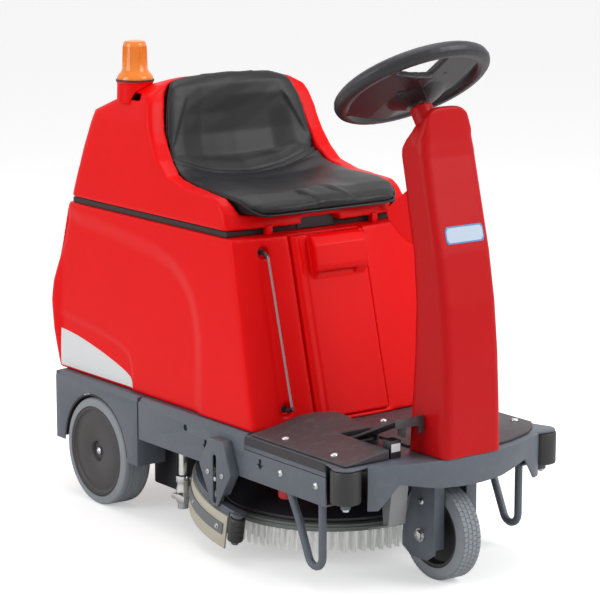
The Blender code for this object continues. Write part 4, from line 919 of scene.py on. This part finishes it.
class SCRUBBER_OT_steering(bpy.types.Operator):
    """Steering wheel with its ribs, dark discs painting the shade of its recesses, horn button, key and stop
    button
    """

    bl_idname = "scrubber.steering"
    bl_label = "Steering"

    def execute(self, context):
        moulded("steering_wheel", "wheel_grip_foam", 0.0024, 4)
        rounded("horn_button", "black_abs", 0.8)
        rounded("steering_shaft", "plated_steel", 0.8)
        rounded("kingpin_shaft", "plated_steel", 0.8)
        rounded("ignition_key", "black_abs", 0.5)
        rounded("emergency_stop", "red_filter_cup", 1.0)
        place = wheel_place()
        wheel = surface_of("steering_wheel_form")
        axis = place.to_3x3().col[2]

        def under(x, y):
            """Where the wheel's underside stands below a place on it."""
            return wheel.ray_cast(place @ Vector((x, y, -0.3)), axis)[0]

        ribs, recess_shades = bmesh.new(), bmesh.new()
        for near, far in WHEEL_RIBS:
            line = [Vector(near).lerp(Vector(far), k / 16) for k in range(17)]
            pipe(ribs, [under(*spot) for spot in line], 0.0013, 8)
        # dark discs on the wheel: painted shade where its recesses are
        for x, y, radius in RECESS_SHADES:
            spin(
                recess_shades, [(0, -0.0006), (radius, -0.0006), (radius, 0.001), (0, 0.001)], under(x, y), axis, 24
            )
        piece("wheel_ribs", ribs, "wheel_grip_foam", "steering")
        piece("wheel_wells", recess_shades, "nitrile_rubber", "steering")
        return {"FINISHED"}


# ---------------------------------------------------------------- chassis
PLATES = (  # finish, edge radius in millimetres and CAD nodes
    ("powder_coat", 0.8, "rail_right rail_left"),
    ("powder_coat", 1.2, "wheel_housing_right wheel_housing_left squeegee_guide_right"),
    ("powder_coat", 1.2, "squeegee_guide_left"),
    ("powder_coat", 0.8, "foot_guard_right foot_guard_left"),
    ("powder_coat", 1.0, "front_bumper"),
    ("powder_coat", 0.8, "floor_plate subframe"),
    ("cast_aluminium", 1.0, "deck_bracket"),
    ("powder_coat", 1.2, "steering_fork"),
    ("plated_steel", 0.8, "front_axle"),
    ("black_abs", 1.5, "traction_motor"),
    ("moulded_vinyl_mat", 1.0, "footrest_mat_left"),
    ("moulded_vinyl_mat", 0.7, "accelerator_pedal"),
    ("black_abs", 1.0, "pedal_sensor"),
    ("red_filter_cup", 0.8, "filter_cup"),
    ("chromed_brass", 0.8, "drain_valve_body"),
    ("chromed_brass", 0.7, "drain_valve_lever"),
    ("black_abs", 1.0, "brush_deck"),
    ("black_abs", 1.5, "brush_motor"),
    ("powder_coat", 0.7, "squeegee_carrier"),
    ("plated_steel", 0.7, "squeegee_hanger_right squeegee_hanger_left"),
)


AXLE = (0.938, 0.132)  # station and height of the rear axle
DARK_PLATES = (  # name, what it rides with, and its corners
    # the lift notch and grip plates are black sheets of painted shade behind openings
    ("lift_notch_backing", "hood_shell", (-0.059, 0.4350, 0.7260), (0.045, 0.4372, 0.7515)),
    ("mat_side", "footrest_right", (-0.2968, 0.0180, 0.2800), (-0.2953, 0.3110, 0.3000)),
    ("grip_backing", "access_panel", (-0.057, 0.3590, 0.6490), (0.043, 0.3612, 0.6690)),
)
WELL = ((0.1375, -0.0385), (0.1410, -0.0385), (0.1410, 0.0385), (0.1375, 0.0385))  # radius and place across


class SCRUBBER_OT_chassis(bpy.types.Operator):
    """Painted plates, cast parts and motors with rounded edges, and the foot mats"""

    bl_idname = "scrubber.chassis"
    bl_label = "Chassis"

    def execute(self, context):
        for material, radius, nodes in PLATES:
            for node in nodes.split():
                rounded(node, material, radius)
        moulded("footrest_right", "moulded_vinyl_mat", context.scene.scrubber_sizes.fine_mesh, 5)
        self.dark_insides()
        for name, side in SIDES:
            self.corner_roller(name, side)
        return {"FINISHED"}

    def dark_insides(self):
        """The wheel wells, the box under the tank, and what stands behind the holes of plates; the black
        liners of the wells and the black sheets behind holes are painted shade.
        """
        for name, side in SIDES:
            # black half-ring above each rear tyre: painted shade inside the wheel housing
            well = bmesh.new()
            hub = at(side * 0.2555, *AXLE)
            spin(well, WELL, hub, (1, 0, 0), 64)
            low = [v for v in well.verts if v.co.z < AXLE[1]]
            bmesh.ops.delete(well, geom=low, context="VERTS")
            bmesh.ops.holes_fill(well, edges=well.edges)
            piece(f"wheel_well_{name}", well, "black_abs", "chassis")
            # black sheet just inside each rail: painted shade behind its holes
            back = bmesh.new()
            block(back, at(side * 0.2905 - 0.0005, 0.240, 0.204), at(side * 0.2905 + 0.0005, 0.735, 0.290))
            piece(f"rail_backing_{name}", back, "black_abs", "chassis")
        box = bmesh.new()
        block(box, at(-0.184, 0.748, 0.056), at(0.184, 0.850, 0.270))
        piece("under_box", softened(box, 0.006), "black_abs", "chassis")
        # black plates; those behind the lift notch and the grip are painted shade
        for name, node, low, high in DARK_PLATES:
            plate = bmesh.new()
            block(plate, at(*low), at(*high))
            piece(name, softened(plate, 0.0004, 1), "black_abs", body_of(node))
        label = bmesh.new()
        block(label, at(-0.1620, -0.0404, 0.3150), at(-0.1375, -0.0400, 0.3330))
        piece("sensor_label", label, "pale_film", "chassis")

    def corner_roller(self, name, side):
        node = f"corner_roller_{name}"
        low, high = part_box(node)
        x, y = (low.x + high.x) / 2, (low.y + high.y) / 2
        radius, tall = (high.x - low.x) / 2, high.z - low.z
        outline = [
            (0.0062, 0),
            (radius - 0.004, 0),
            (radius - 0.0012, 0.0012),
            (radius, 0.004),
            (radius, tall - 0.004),
        ]
        outline += [(radius - 0.0012, tall - 0.0012), (radius - 0.004, tall), (radius - 0.012, tall)]
        outline += [(radius - 0.013, tall - 0.002), (0.012, tall - 0.002), (0.0110, tall), (0.0062, tall)]
        piece(
            node + "_form",
            spin(bmesh.new(), outline, (x, y, low.z)),
            "nitrile_rubber",
            body_of(node),
            (node,),
        )


# ---------------------------------------------------------------- wheels
class SCRUBBER_OT_wheels(bpy.types.Operator):
    """Tyres with their tread, and dished hubs"""

    bl_idname = "scrubber.wheels"
    bl_label = "Wheels"

    def execute(self, context):
        self.front_tyre(context.scene.scrubber_sizes.tread)
        rounded("front_rim", "nylon_hub", 1.0)
        for name, side in SIDES:
            self.rear_wheel(name, side)
        return {"FINISHED"}

    def middle(self, node):
        low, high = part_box(node)
        return (low + high) / 2, (high.z - low.z) / 2, high.x - low.x

    def front_tyre(self, count):
        centre, radius, width = self.middle("front_tyre")
        half, base = width / 2, radius - 0.0016
        side = [
            (0.0806, -half),
            (base - 0.014, -half),
            (base - 0.005, -half + 0.0018),
            (base - 0.0012, -half + 0.0045),
        ]
        side += [(base, -half + 0.009)]
        outline = side + [(r, -h) for r, h in reversed(side)]
        carcass = spin(bmesh.new(), outline, steps=96)
        tread = bmesh.new()
        block(tread, (-0.0030, -0.0050, -0.0052), (0.0014, 0.0050, 0.0052))
        block(tread, (-0.0030, 0.0010, 0.0030), (0.0014, 0.0062, 0.0056))
        softened(tread, 0.0006, 1)
        turn = 2 * pi / count
        rows = []
        pattern = shape_object(tread)
        for k, shift in enumerate((-0.0174, -0.0058, 0.0058, 0.0174)):
            values = {
                "Shape": pattern, "Count": count, "Radius": base, "Start": (0.0, 0.0, turn * (k % 2) / 2)
            }
            values.update(Lean=0.0, Seed=1, Material=finish("grey_rubber"))
            row = grown(f"tread{k}", ring_tree(), bpy.data.meshes.new("tread"), values)
            row.data.transform(Matrix.Translation((0, 0, shift)))
            rows.append(row)
        bpy.data.objects.remove(pattern)
        rows.append(shape_object(carcass))
        place = Matrix.Translation(centre) @ Matrix.Rotation(pi / 2, 4, "Y")
        settled(merged("front_tyre_form", rows, place), "grey_rubber", "front_wheel", ("front_tyre",))

    def rear_wheel(self, name, side):
        body = body_of(f"rear_tyre_{name}")
        centre, radius, width = self.middle(f"rear_tyre_{name}")
        half = width / 2
        outline = [(0.1114, -half), (0.1150, -half), (0.1165, -half + 0.0012), (0.1235, -half + 0.0012)]
        outline += [(radius - 0.0035, -half + 0.0030), (radius - 0.0008, -half + 0.0065)]
        for k in range(5):  # shallow grooves round the tread
            h = -half + 0.0165 + k * (width - 0.033) / 4
            outline += [
                (radius, h - 0.0026),
                (radius - 0.0020, h - 0.0016),
                (radius - 0.0020, h + 0.0016),
                (radius, h + 0.0026),
            ]
        outline += [
            (radius - 0.0008, half - 0.0065), (radius - 0.0035, half - 0.0030), (0.1235, half - 0.0012)
        ]
        outline += [(0.1165, half - 0.0012), (0.1150, half), (0.1114, half)]
        node = f"rear_tyre_{name}"
        piece(
            node + "_form",
            spin(bmesh.new(), outline, centre, (side, 0, 0), 96),
            "grey_rubber",
            body,
            (node,),
            50,
        )
        disc = [
            (0.0106, -0.020),
            (0.030, -0.020),
            (0.030, 0.004),
            (0.094, 0.004),
            (0.099, -0.030),
            (0.1109, -0.030),
        ]
        disc += [
            (0.1109, half - 0.0030),
            (0.1085, half - 0.0016),
            (0.1030, half - 0.0016),
            (0.1018, half - 0.0034),
        ]
        disc += [
            (0.0990, half - 0.0060),
            (0.0960, half - 0.0066),
            (0.0920, half - 0.0055),
            (0.0270, half - 0.0045),
        ]
        disc += [(0.0250, half - 0.0060), (0.0225, half - 0.0130), (0.0106, half - 0.0130)]
        node = f"rear_rim_{name}"
        piece(node + "_form", spin(bmesh.new(), disc, centre, (side, 0, 0), 80), "nylon_hub", body, (node,))
        cap = [
            (0, -0.002), (0.0092, -0.002), (0.0092, 0.0045), (0.0070, 0.0070), (0.0035, 0.0084), (0, 0.0088)
        ]
        tip = centre + Vector((side * (half - 0.0145), 0, 0))
        piece(f"axle_cap_{name}", spin(bmesh.new(), cap, tip, (side, 0, 0), 32), "chromed_brass", "chassis")


# ---------------------------------------------------------------- scrub head
class SCRUBBER_OT_brush(bpy.types.Operator):
    """Brush body with rings of flaring bristle tufts"""

    bl_idname = "scrubber.brush"
    bl_label = "Brush"

    def execute(self, context):
        low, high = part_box("brush_bristles")
        centre = Vector(((low.x + high.x) / 2, (low.y + high.y) / 2, low.z))
        tall = high.z - low.z
        tuft = bmesh.new()
        for k in range(13):  # filaments of one tuft, spreading from its hole
            a, r = 2.4 * k, 0.0013 * (k % 5)
            foot = Vector((r * cos(a) * 0.9, r * sin(a) * 0.9, tall - 0.0006))
            reach = 0.35 + 0.65 * ((k * 7) % 5) / 4
            tip = Vector(
                (
                    0.0030 + 0.0046 * reach * cos(a),
                    0.0058 * reach * sin(a),
                    0.0005 + 0.0035 * ((k * 3) % 4) / 4,
                ),
            )
            pipe(tuft, [foot, foot.lerp(tip, 0.55) + Vector((0.0006, 0, 0)), tip], 0.00052, 4)
        count = context.scene.scrubber_sizes.tufts
        circles = [(int(count * r / 0.247), r, 0.13 * k) for k, r in enumerate((0.247, 0.230, 0.205))]
        rings(
            "bristle_tufts",
            tuft,
            circles,
            "white_nylon",
            Matrix.Translation(centre),
            "brush",
            ("brush_bristles",),
            lean=0.05,
        )
        low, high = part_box("brush_block")
        centre, tall = Vector((centre.x, centre.y, low.z)), 0.0175
        body = [
            (0, 0),
            (0.250, 0),
            (0.2535, 0.0015),
            (0.255, 0.004),
            (0.255, 0.0105),
            (0.2515, 0.0125),
            (0.2515, 0.0160),
        ]
        body += [(0.2495, tall), (0.030, tall), (0.028, high.z - low.z), (0, high.z - low.z)]
        piece(
            "brush_block_form",
            spin(bmesh.new(), body, centre, steps=128),
            "brush_polypropylene",
            "brush",
            ("brush_block",),
        )
        return {"FINISHED"}


# ---------------------------------------------------------------- squeegee
TILT = radians(11)
PINS = (0.397, 0.146)
BRUSH_STATION = 0.385


def tilted():
    """Moves what was made level to the squeegee's working tilt."""
    pin = at(0, *PINS)
    return Matrix.Translation(pin) @ Matrix.Rotation(TILT, 4, "X") @ Matrix.Translation(-pin)


def band(bm, radius, thick, low, high, end, count=72, nose=0.0):
    """Adds an upright strip on an arc behind the brush; nose leans its lower edge in."""
    turn = np.arcsin((BRUSH_STATION - end) / radius)
    rows = []
    for k in range(count + 1):
        a = -turn + (pi + 2 * turn) * k / count
        ray = Vector((cos(a), sin(a), 0))
        outline = (
            (radius - nose, low),
            (radius, low + nose),
            (radius, high),
            (radius + thick, high),
            (radius + thick, low + nose),
        )
        outline += ((radius + thick - nose * 0.4, low),)
        rows.append([bm.verts.new(at(0, BRUSH_STATION, h) + ray * r) for r, h in outline])
    for near, far in zip(rows, rows[1:]):
        for k in range(len(near)):
            bm.faces.new([near[k], near[(k + 1) % len(near)], far[(k + 1) % len(near)], far[k]])
    bm.faces.new(rows[0][::-1])
    bm.faces.new(rows[-1])
    return bm


class SCRUBBER_OT_squeegee(bpy.types.Operator):
    """Squeegee blade, retainer strip with its bolts, and end rollers"""

    bl_idname = "scrubber.squeegee"
    bl_label = "Squeegee"

    def execute(self, context):
        place = tilted()
        blade = band(bmesh.new(), 0.3144, 0.005, 0.038, 0.118, 0.345, nose=0.0015)
        bmesh.ops.transform(blade, matrix=place, verts=blade.verts)
        piece("squeegee_blade_form", blade, "blade_polyurethane", "squeegee", ("squeegee_blade",))
        strip = band(bmesh.new(), 0.3198, 0.0025, 0.070, 0.096, 0.355)
        softened(strip, 0.0006, 1, 50)
        bmesh.ops.transform(strip, matrix=place, verts=strip.verts)
        piece("squeegee_strip_form", strip, "grey_polyamide", "squeegee", ("squeegee_strip",))
        places = []
        for k in range(9):
            a = radians(-2 + 184 * k / 8)
            ray = Vector((cos(a), sin(a), 0))
            places.append((place @ (at(0, BRUSH_STATION, 0.083) + ray * 0.3222), place.to_3x3() @ ray))
        bolt = spin(
            bmesh.new(),
            [(0, 0), (0.0062, 0), (0.0062, 0.0008), (0.0040, 0.0016), (0.0038, 0.0040), (0, 0.0046)],
            steps=16,
        )
        scattered("squeegee_bolts", bolt, places, "plated_steel", "squeegee")
        for name, side in SIDES:
            node = f"squeegee_roller_{name}"
            outline = [(0.0046, 0.070), (0.0155, 0.070), (0.0180, 0.0725), (0.0185, 0.076)]
            for z in (0.085, 0.098, 0.111):  # three grooves
                outline += [(0.0185, z - 0.0012), (0.0174, z), (0.0185, z + 0.0012)]
            outline += [(0.0185, 0.1205), (0.0180, 0.1240), (0.0155, 0.1265), (0.0046, 0.1265)]
            roller = spin(bmesh.new(), outline, at(side * 0.309, 0.317, 0), steps=48)
            bmesh.ops.transform(roller, matrix=place, verts=roller.verts)
            piece(node + "_form", roller, "nitrile_rubber", body_of(node), (node,))
        return {"FINISHED"}


# ---------------------------------------------------------------- fittings
class SCRUBBER_OT_fittings(bpy.types.Operator):
    """Level tube with its elbows, and pedal ribs"""

    bl_idname = "scrubber.fittings"
    bl_label = "Fittings"

    def execute(self, context):
        low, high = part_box("sight_tube")
        x = (low.x + high.x) / 2
        top, foot = Vector((x, high.y - 0.004, high.z - 0.005)), Vector((x, low.y + 0.018, low.z + 0.005))

        def face(z):
            """Where the tube's line stands at a height."""
            return foot.y + (z - foot.z) * (top.y - foot.y) / (top.z - foot.z)

        line = [
            top,
            Vector((x, face(top.z) - 0.010, top.z + 0.001)),
            Vector((x, face(top.z) - 0.0205, top.z - 0.007)),
        ]
        line += [
            Vector((x, face(z) - 0.0225, z)) for z in (top.z - 0.020, (top.z + foot.z) / 2, foot.z + 0.020)
        ]
        line += [
            Vector((x, face(foot.z) - 0.0205, foot.z + 0.008)),
            Vector((x, face(foot.z) - 0.010, foot.z - 0.001)),
            foot,
        ]
        line = smooth_line(line, 6)
        third = len(line) // 3
        piece("level_tube", pipe(bmesh.new(), line, 0.0027, 14), "clear_vinyl", "chassis", ("sight_tube",))
        ends = pipe(bmesh.new(), line[: third - 1], 0.0046, 12)
        pipe(ends, line[-third + 1 :], 0.0046, 12)
        tank = surface_of("tank_body_form")
        for end in (top, foot):
            floor = tank.ray_cast(Vector((end.x, -1.0, end.z)), Vector((0, 1, 0)))[0]
            spin(ends, [(0, 0), (0.0098, 0), (0.0098, 0.0012), (0, 0.0016)], floor, (0, -1, 0), 24)
        piece("tube_elbows", ends, "black_abs", "chassis")
        ribs = bmesh.new()
        low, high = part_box("accelerator_pedal")
        for k in range(9):
            y = low.y + 0.020 + k * 0.0145
            z = high.z - 0.0002 - (y - low.y - 0.003) * 0.468
            block(ribs, (low.x + 0.006, y, z - 0.0012), (high.x - 0.006, y + 0.0035, z + 0.0008))
        piece("pedal_ribs", softened(ribs, 0.0004, 1), "moulded_vinyl_mat", "pedal")
        return {"FINISHED"}


# ---------------------------------------------------------------- fasteners
def button_head(radius):
    """A button-head screw with its hex socket, standing along +Z."""
    bm = bmesh.new()
    dome = [
        (0, 0),
        (radius, 0),
        (radius, radius * 0.12),
        (radius * 0.86, radius * 0.42),
        (radius * 0.60, radius * 0.60),
    ]
    spin(
        bm,
        dome + [(radius * 0.34, radius * 0.66), (radius * 0.32, radius * 0.36), (0, radius * 0.34)],
        steps=18,
    )
    return bm


def hex_head(radius):
    """A hexagon bolt on its washer, standing along +Z."""
    r = radius
    bm = spin(bmesh.new(), [(0, 0), (r * 1.25, 0), (r * 1.25, r * 0.16), (0, r * 0.16)], steps=24)
    spin(bm, [(0, r * 0.1), (r, r * 0.1), (r, r * 0.72), (r * 0.84, r * 0.82), (0, r * 0.82)], steps=6)
    return bm


def ring_head(radius):
    """A flat screw whose head is a bright ring round a dark well."""
    r = radius
    head = [
        (0, 0),
        (r, 0),
        (r, r * 0.25),
        (r * 0.85, r * 0.4),
        (r * 0.45, r * 0.4),
        (r * 0.42, r * 0.1),
        (0, r * 0.1),
    ]
    return spin(bmesh.new(), head, steps=24)


class SCRUBBER_OT_fasteners(bpy.types.Operator):
    """Screws and bolts of the frame, mats, brackets and fork"""

    bl_idname = "scrubber.fasteners"
    bl_label = "Fasteners"

    def execute(self, context):
        head = context.scene.scrubber_sizes.screw
        sides, brackets, fork = [], [], []
        for _, side in SIDES:
            out = (side, 0, 0)
            sides += [(at(side * 0.2951, 0.179, 0.2430), out), (at(side * 0.2951, 0.051, 0.2430), out)]
            brackets += [(at(side * 0.3201, 0.367, 0.199), out), (at(side * 0.3201, 0.422, 0.199), out)]
            fork.append((at(side * 0.0601, -0.020, 0.185), out))
        mats = [(at(-0.262, 0.205, 0.3100), (0, 0, 1)), (at(0.262, 0.205, 0.3065), (0, 0, 1))]
        mats += [(at(-0.262, 0.030, 0.3100), (-0.15, 0, 1)), (at(0.262, 0.040, 0.3062), (0, 0, 1))]
        mats += [(at(0.020, 0.215, 0.3062), (0, 0, 1)), (at(0.150, 0.215, 0.3062), (0, 0, 1))]
        scattered("frame_screws", button_head(head), sides, "plated_steel", "chassis")
        scattered("mat_screws", button_head(head * 1.05), mats, "plated_steel", "chassis")
        scattered("bracket_screws", ring_head(0.0062), brackets, "plated_steel", "chassis")
        scattered("fork_screws", button_head(0.0085), fork, "plated_steel", "fork")
        low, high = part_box("front_axle")
        y, z = (low.y + high.y) / 2, (low.z + high.z) / 2
        axle_ends = [(Vector((side * 0.0600, y, z)), (side, 0, 0)) for _, side in SIDES]
        scattered("axle_bolts", hex_head(0.0120), axle_ends, "plated_steel", "fork")
        under_rollers = [(at(side * 0.279, -0.032, 0.2080), (0, 0, -1)) for _, side in SIDES]
        scattered("roller_bolts", hex_head(0.0072), under_rollers, "plated_steel", "chassis")
        return {"FINISHED"}


# ---------------------------------------------------------------- labels
# station and height along the tank film's upper edge, and at the ends of its lower edge
DECAL_TOP = ((1.136, 0.4030), (1.078, 0.3975), (1.018, 0.3880), (0.941, 0.3720), (0.874, 0.3550))
DECAL_TOP += ((0.835, 0.3420), (0.813, 0.3290), (0.806, 0.3150))
DECAL_FOOT = ((1.134, 0.3110), (0.806, 0.3120))
PLATE_HALF, PLATE_TALL, PLATE_CORNER = 0.0530, 0.0185, 0.0075  # half sizes of the column's plate
PLATE_X, PLATE_Z = 0.005, 0.7780


class SCRUBBER_OT_labels(bpy.types.Operator):
    """Blank pale films on the tank and column"""

    bl_idname = "scrubber.labels"
    bl_label = "Labels"

    def film(self, name, onto, grid, towards, material, body, thick):
        """A thin film through a grid of points, cast onto a finished piece."""
        tree = surface_of(onto)
        bm = bmesh.new()
        shells = []
        for lift in (0.0001, 0.0001 + thick):
            rows = []
            for row in grid:
                hits = [tree.ray_cast(start, towards)[0] for start in row]
                rows.append([bm.verts.new(spot - towards * lift) for spot in hits])
            shells.append(rows)
        for rows in shells:
            for near, far in zip(rows, rows[1:]):
                for k in range(len(near) - 1):
                    bm.faces.new([near[k], near[k + 1], far[k + 1], far[k]])
        low, high = shells
        rim = [(0, k) for k in range(len(grid[0]))] + [(j, -1) for j in range(1, len(grid))]
        rim += [
            (-1, k) for k in range(len(grid[0]) - 2, -1, -1)
        ] + [(j, 0) for j in range(len(grid) - 2, 0, -1)]
        for (j, k), (jj, kk) in zip(rim, rim[1:] + rim[:1]):
            bm.faces.new([low[j][k], low[jj][kk], high[jj][kk], high[j][k]])
        return piece(name, bm, material, body)

    def execute(self, context):
        thick = context.scene.scrubber_sizes.decal
        top = smooth_line([at(0, y, z) for y, z in DECAL_TOP], 6)
        for name, side in SIDES:
            grid = []
            for k, upper in enumerate(top):
                share = (upper.y - at(0, *DECAL_FOOT[0]).y) / (DECAL_FOOT[1][0] - DECAL_FOOT[0][0])
                low = at(0, *DECAL_FOOT[0]).lerp(at(0, *DECAL_FOOT[1]), min(max(share, 0), 1))
                low.y = upper.y
                row = [low.lerp(upper, j / 10) for j in range(11)]
                grid.append([Vector((side * 0.4, p.y, p.z)) for p in row])
            self.film(
                f"tank_film_{name}",
                "tank_body_form",
                grid,
                Vector((-side, 0, 0)),
                "pale_film",
                "chassis",
                thick,
            )
        plates = (("plate_edge", 0.0, "blue_edge", 1), ("column_plate", -0.0032, "pale_plate", 2))
        for name, grow, material, lift in plates:
            half, tall, r = PLATE_HALF + grow, PLATE_TALL + grow, PLATE_CORNER
            grid = []
            for j in range(25):
                x = -half + 2 * half * j / 24
                into = max(0.0, abs(x) - (half - r))
                reach = tall - r + (r * r - into * into) ** 0.5
                grid.append([at(x + PLATE_X, -0.5, PLATE_Z + reach * (2 * k / 8 - 1)) for k in range(9)])
            self.film(name, "column_cover_form", grid, Vector((0, 1, 0)), material, "chassis", thick * lift)
        return {"FINISHED"}


# ---------------------------------------------------------------- stage
def softbox(name, place, target, size, power, colour=(1, 1, 1)):
    data = bpy.data.lights.new(name, "AREA")
    data.shape = "RECTANGLE"
    data.size, data.size_y = size
    data.energy = power
    data.color = colour
    lamp = bpy.data.objects.new(name, data)
    bpy.context.scene.collection.objects.link(lamp)
    lamp.location = place
    lamp.rotation_mode = "QUATERNION"
    lamp.rotation_quaternion = (Vector(target) - Vector(place)).to_track_quat("-Z", "Y")
    return lamp


class SCRUBBER_OT_stage(bpy.types.Operator):
    """Camera, soft lights, pale floor and white surroundings"""

    bl_idname = "scrubber.stage"
    bl_label = "Stage"

    def execute(self, context):
        scene = context.scene
        data = bpy.data.cameras.new("Camera")
        data.lens = 148.1
        data.sensor_width = 36.0
        camera = bpy.data.objects.new("Camera", data)
        scene.collection.objects.link(camera)
        scene.camera = camera
        camera.location = (-3.386, -4.55025, 1.67)
        camera.rotation_mode = "QUATERNION"
        camera.rotation_quaternion = Vector((0.5879, 0.7848, -0.1958)).to_track_quat("-Z", "Y")
        scene.view_settings.view_transform = "Standard"
        self.floor()
        self.world(scene)
        softbox("key", (2.2, -3.6, 3.2), (0, 0, 0.5), (2.6, 2.6), 120)
        softbox("side", (-4.2, 0.8, 2.0), (0, 0, 0.5), (2.4, 2.4), 60)
        softbox("overhead", (0.2, 0.3, 4.2), (0, 0, 0.4), (3.0, 3.0), 60)
        return {"FINISHED"}

    def floor(self):
        bm = bmesh.new()
        bmesh.ops.create_grid(bm, x_segments=1, y_segments=1, size=60)
        mesh = bpy.data.meshes.new("floor")
        bm.to_mesh(mesh)
        bm.free()
        floor = new_object("floor", mesh)
        paper = surface("floor_paper", linear("F4F4F4"), 0.8, shade=0.99, patch=900, height=0.0, polish=0.02)
        tree = paper.node_tree
        seen = put(tree, "ShaderNodeLightPath").outputs["Is Camera Ray"]
        glow = put(tree, "ShaderNodeMath", {0: seen, 1: 0.42}, operation="MULTIPLY").outputs[0]
        shader = tree.nodes["Principled BSDF"].inputs
        shader["Emission Color"].default_value = (1, 1, 1, 1)
        tree.links.new(glow, shader["Emission Strength"])
        mesh.materials.append(paper)

    def world(self, scene):
        world = bpy.data.worlds.new("white")
        world.use_nodes = True
        tree = world.node_tree
        tree.nodes.clear()
        ray = put(tree, "ShaderNodeLightPath").outputs
        seen = put(
            tree,
            "ShaderNodeMath",
            {0: ray["Is Camera Ray"], 1: ray["Is Transmission Ray"]},
            operation="MAXIMUM",
        )
        share = put(
            tree, "ShaderNodeMath", {0: seen.outputs[0], 1: ray["Is Glossy Ray"]}, operation="MAXIMUM"
        ).outputs[0]
        lit = put(tree, "ShaderNodeBackground", {"Color": (1, 1, 1, 1), "Strength": 0.50}).outputs[0]
        shown = put(tree, "ShaderNodeBackground", {"Color": (1, 1, 1, 1), "Strength": 1.0}).outputs[0]
        mixed = put(tree, "ShaderNodeMixShader", {0: share, 1: lit, 2: shown}).outputs[0]
        put(tree, "ShaderNodeOutputWorld", {"Surface": mixed})
        scene.world = world


# ---------------------------------------------------------------- add-on
OPERATORS = (
    SCRUBBER_OT_stage,
    SCRUBBER_OT_bodywork,
    SCRUBBER_OT_seat,
    SCRUBBER_OT_beacon,
    SCRUBBER_OT_steering,
    SCRUBBER_OT_chassis,
    SCRUBBER_OT_wheels,
    SCRUBBER_OT_brush,
    SCRUBBER_OT_squeegee,
    SCRUBBER_OT_fittings,
    SCRUBBER_OT_fasteners,
    SCRUBBER_OT_labels,
)


class SCRUBBER_PT_panel(bpy.types.Panel):
    bl_idname = "SCRUBBER_PT_panel"
    bl_label = "Floor scrubber"
    bl_space_type = "VIEW_3D"
    bl_region_type = "UI"
    bl_category = "Scrubber"

    def draw(self, context):
        for operator in OPERATORS:
            self.layout.operator(operator.bl_idname)
        for group in (context.scene.scrubber_colours, context.scene.scrubber_sizes):
            for name in group.__annotations__:
                self.layout.prop(group, name)


CLASSES = (ScrubberColours, ScrubberSizes, *OPERATORS, SCRUBBER_PT_panel)


def register():
    for made in CLASSES:
        bpy.utils.register_class(made)
    bpy.types.Scene.scrubber_colours = bpy.props.PointerProperty(type=ScrubberColours)
    bpy.types.Scene.scrubber_sizes = bpy.props.PointerProperty(type=ScrubberSizes)


def unregister():
    del bpy.types.Scene.scrubber_colours
    del bpy.types.Scene.scrubber_sizes
    for made in reversed(CLASSES):
        bpy.utils.unregister_class(made)


def main():
    register()
    for operator in OPERATORS:
        group, name = operator.bl_idname.split(".")
        getattr(getattr(bpy.ops, group), name)()


if __name__ == "__main__":
    main()
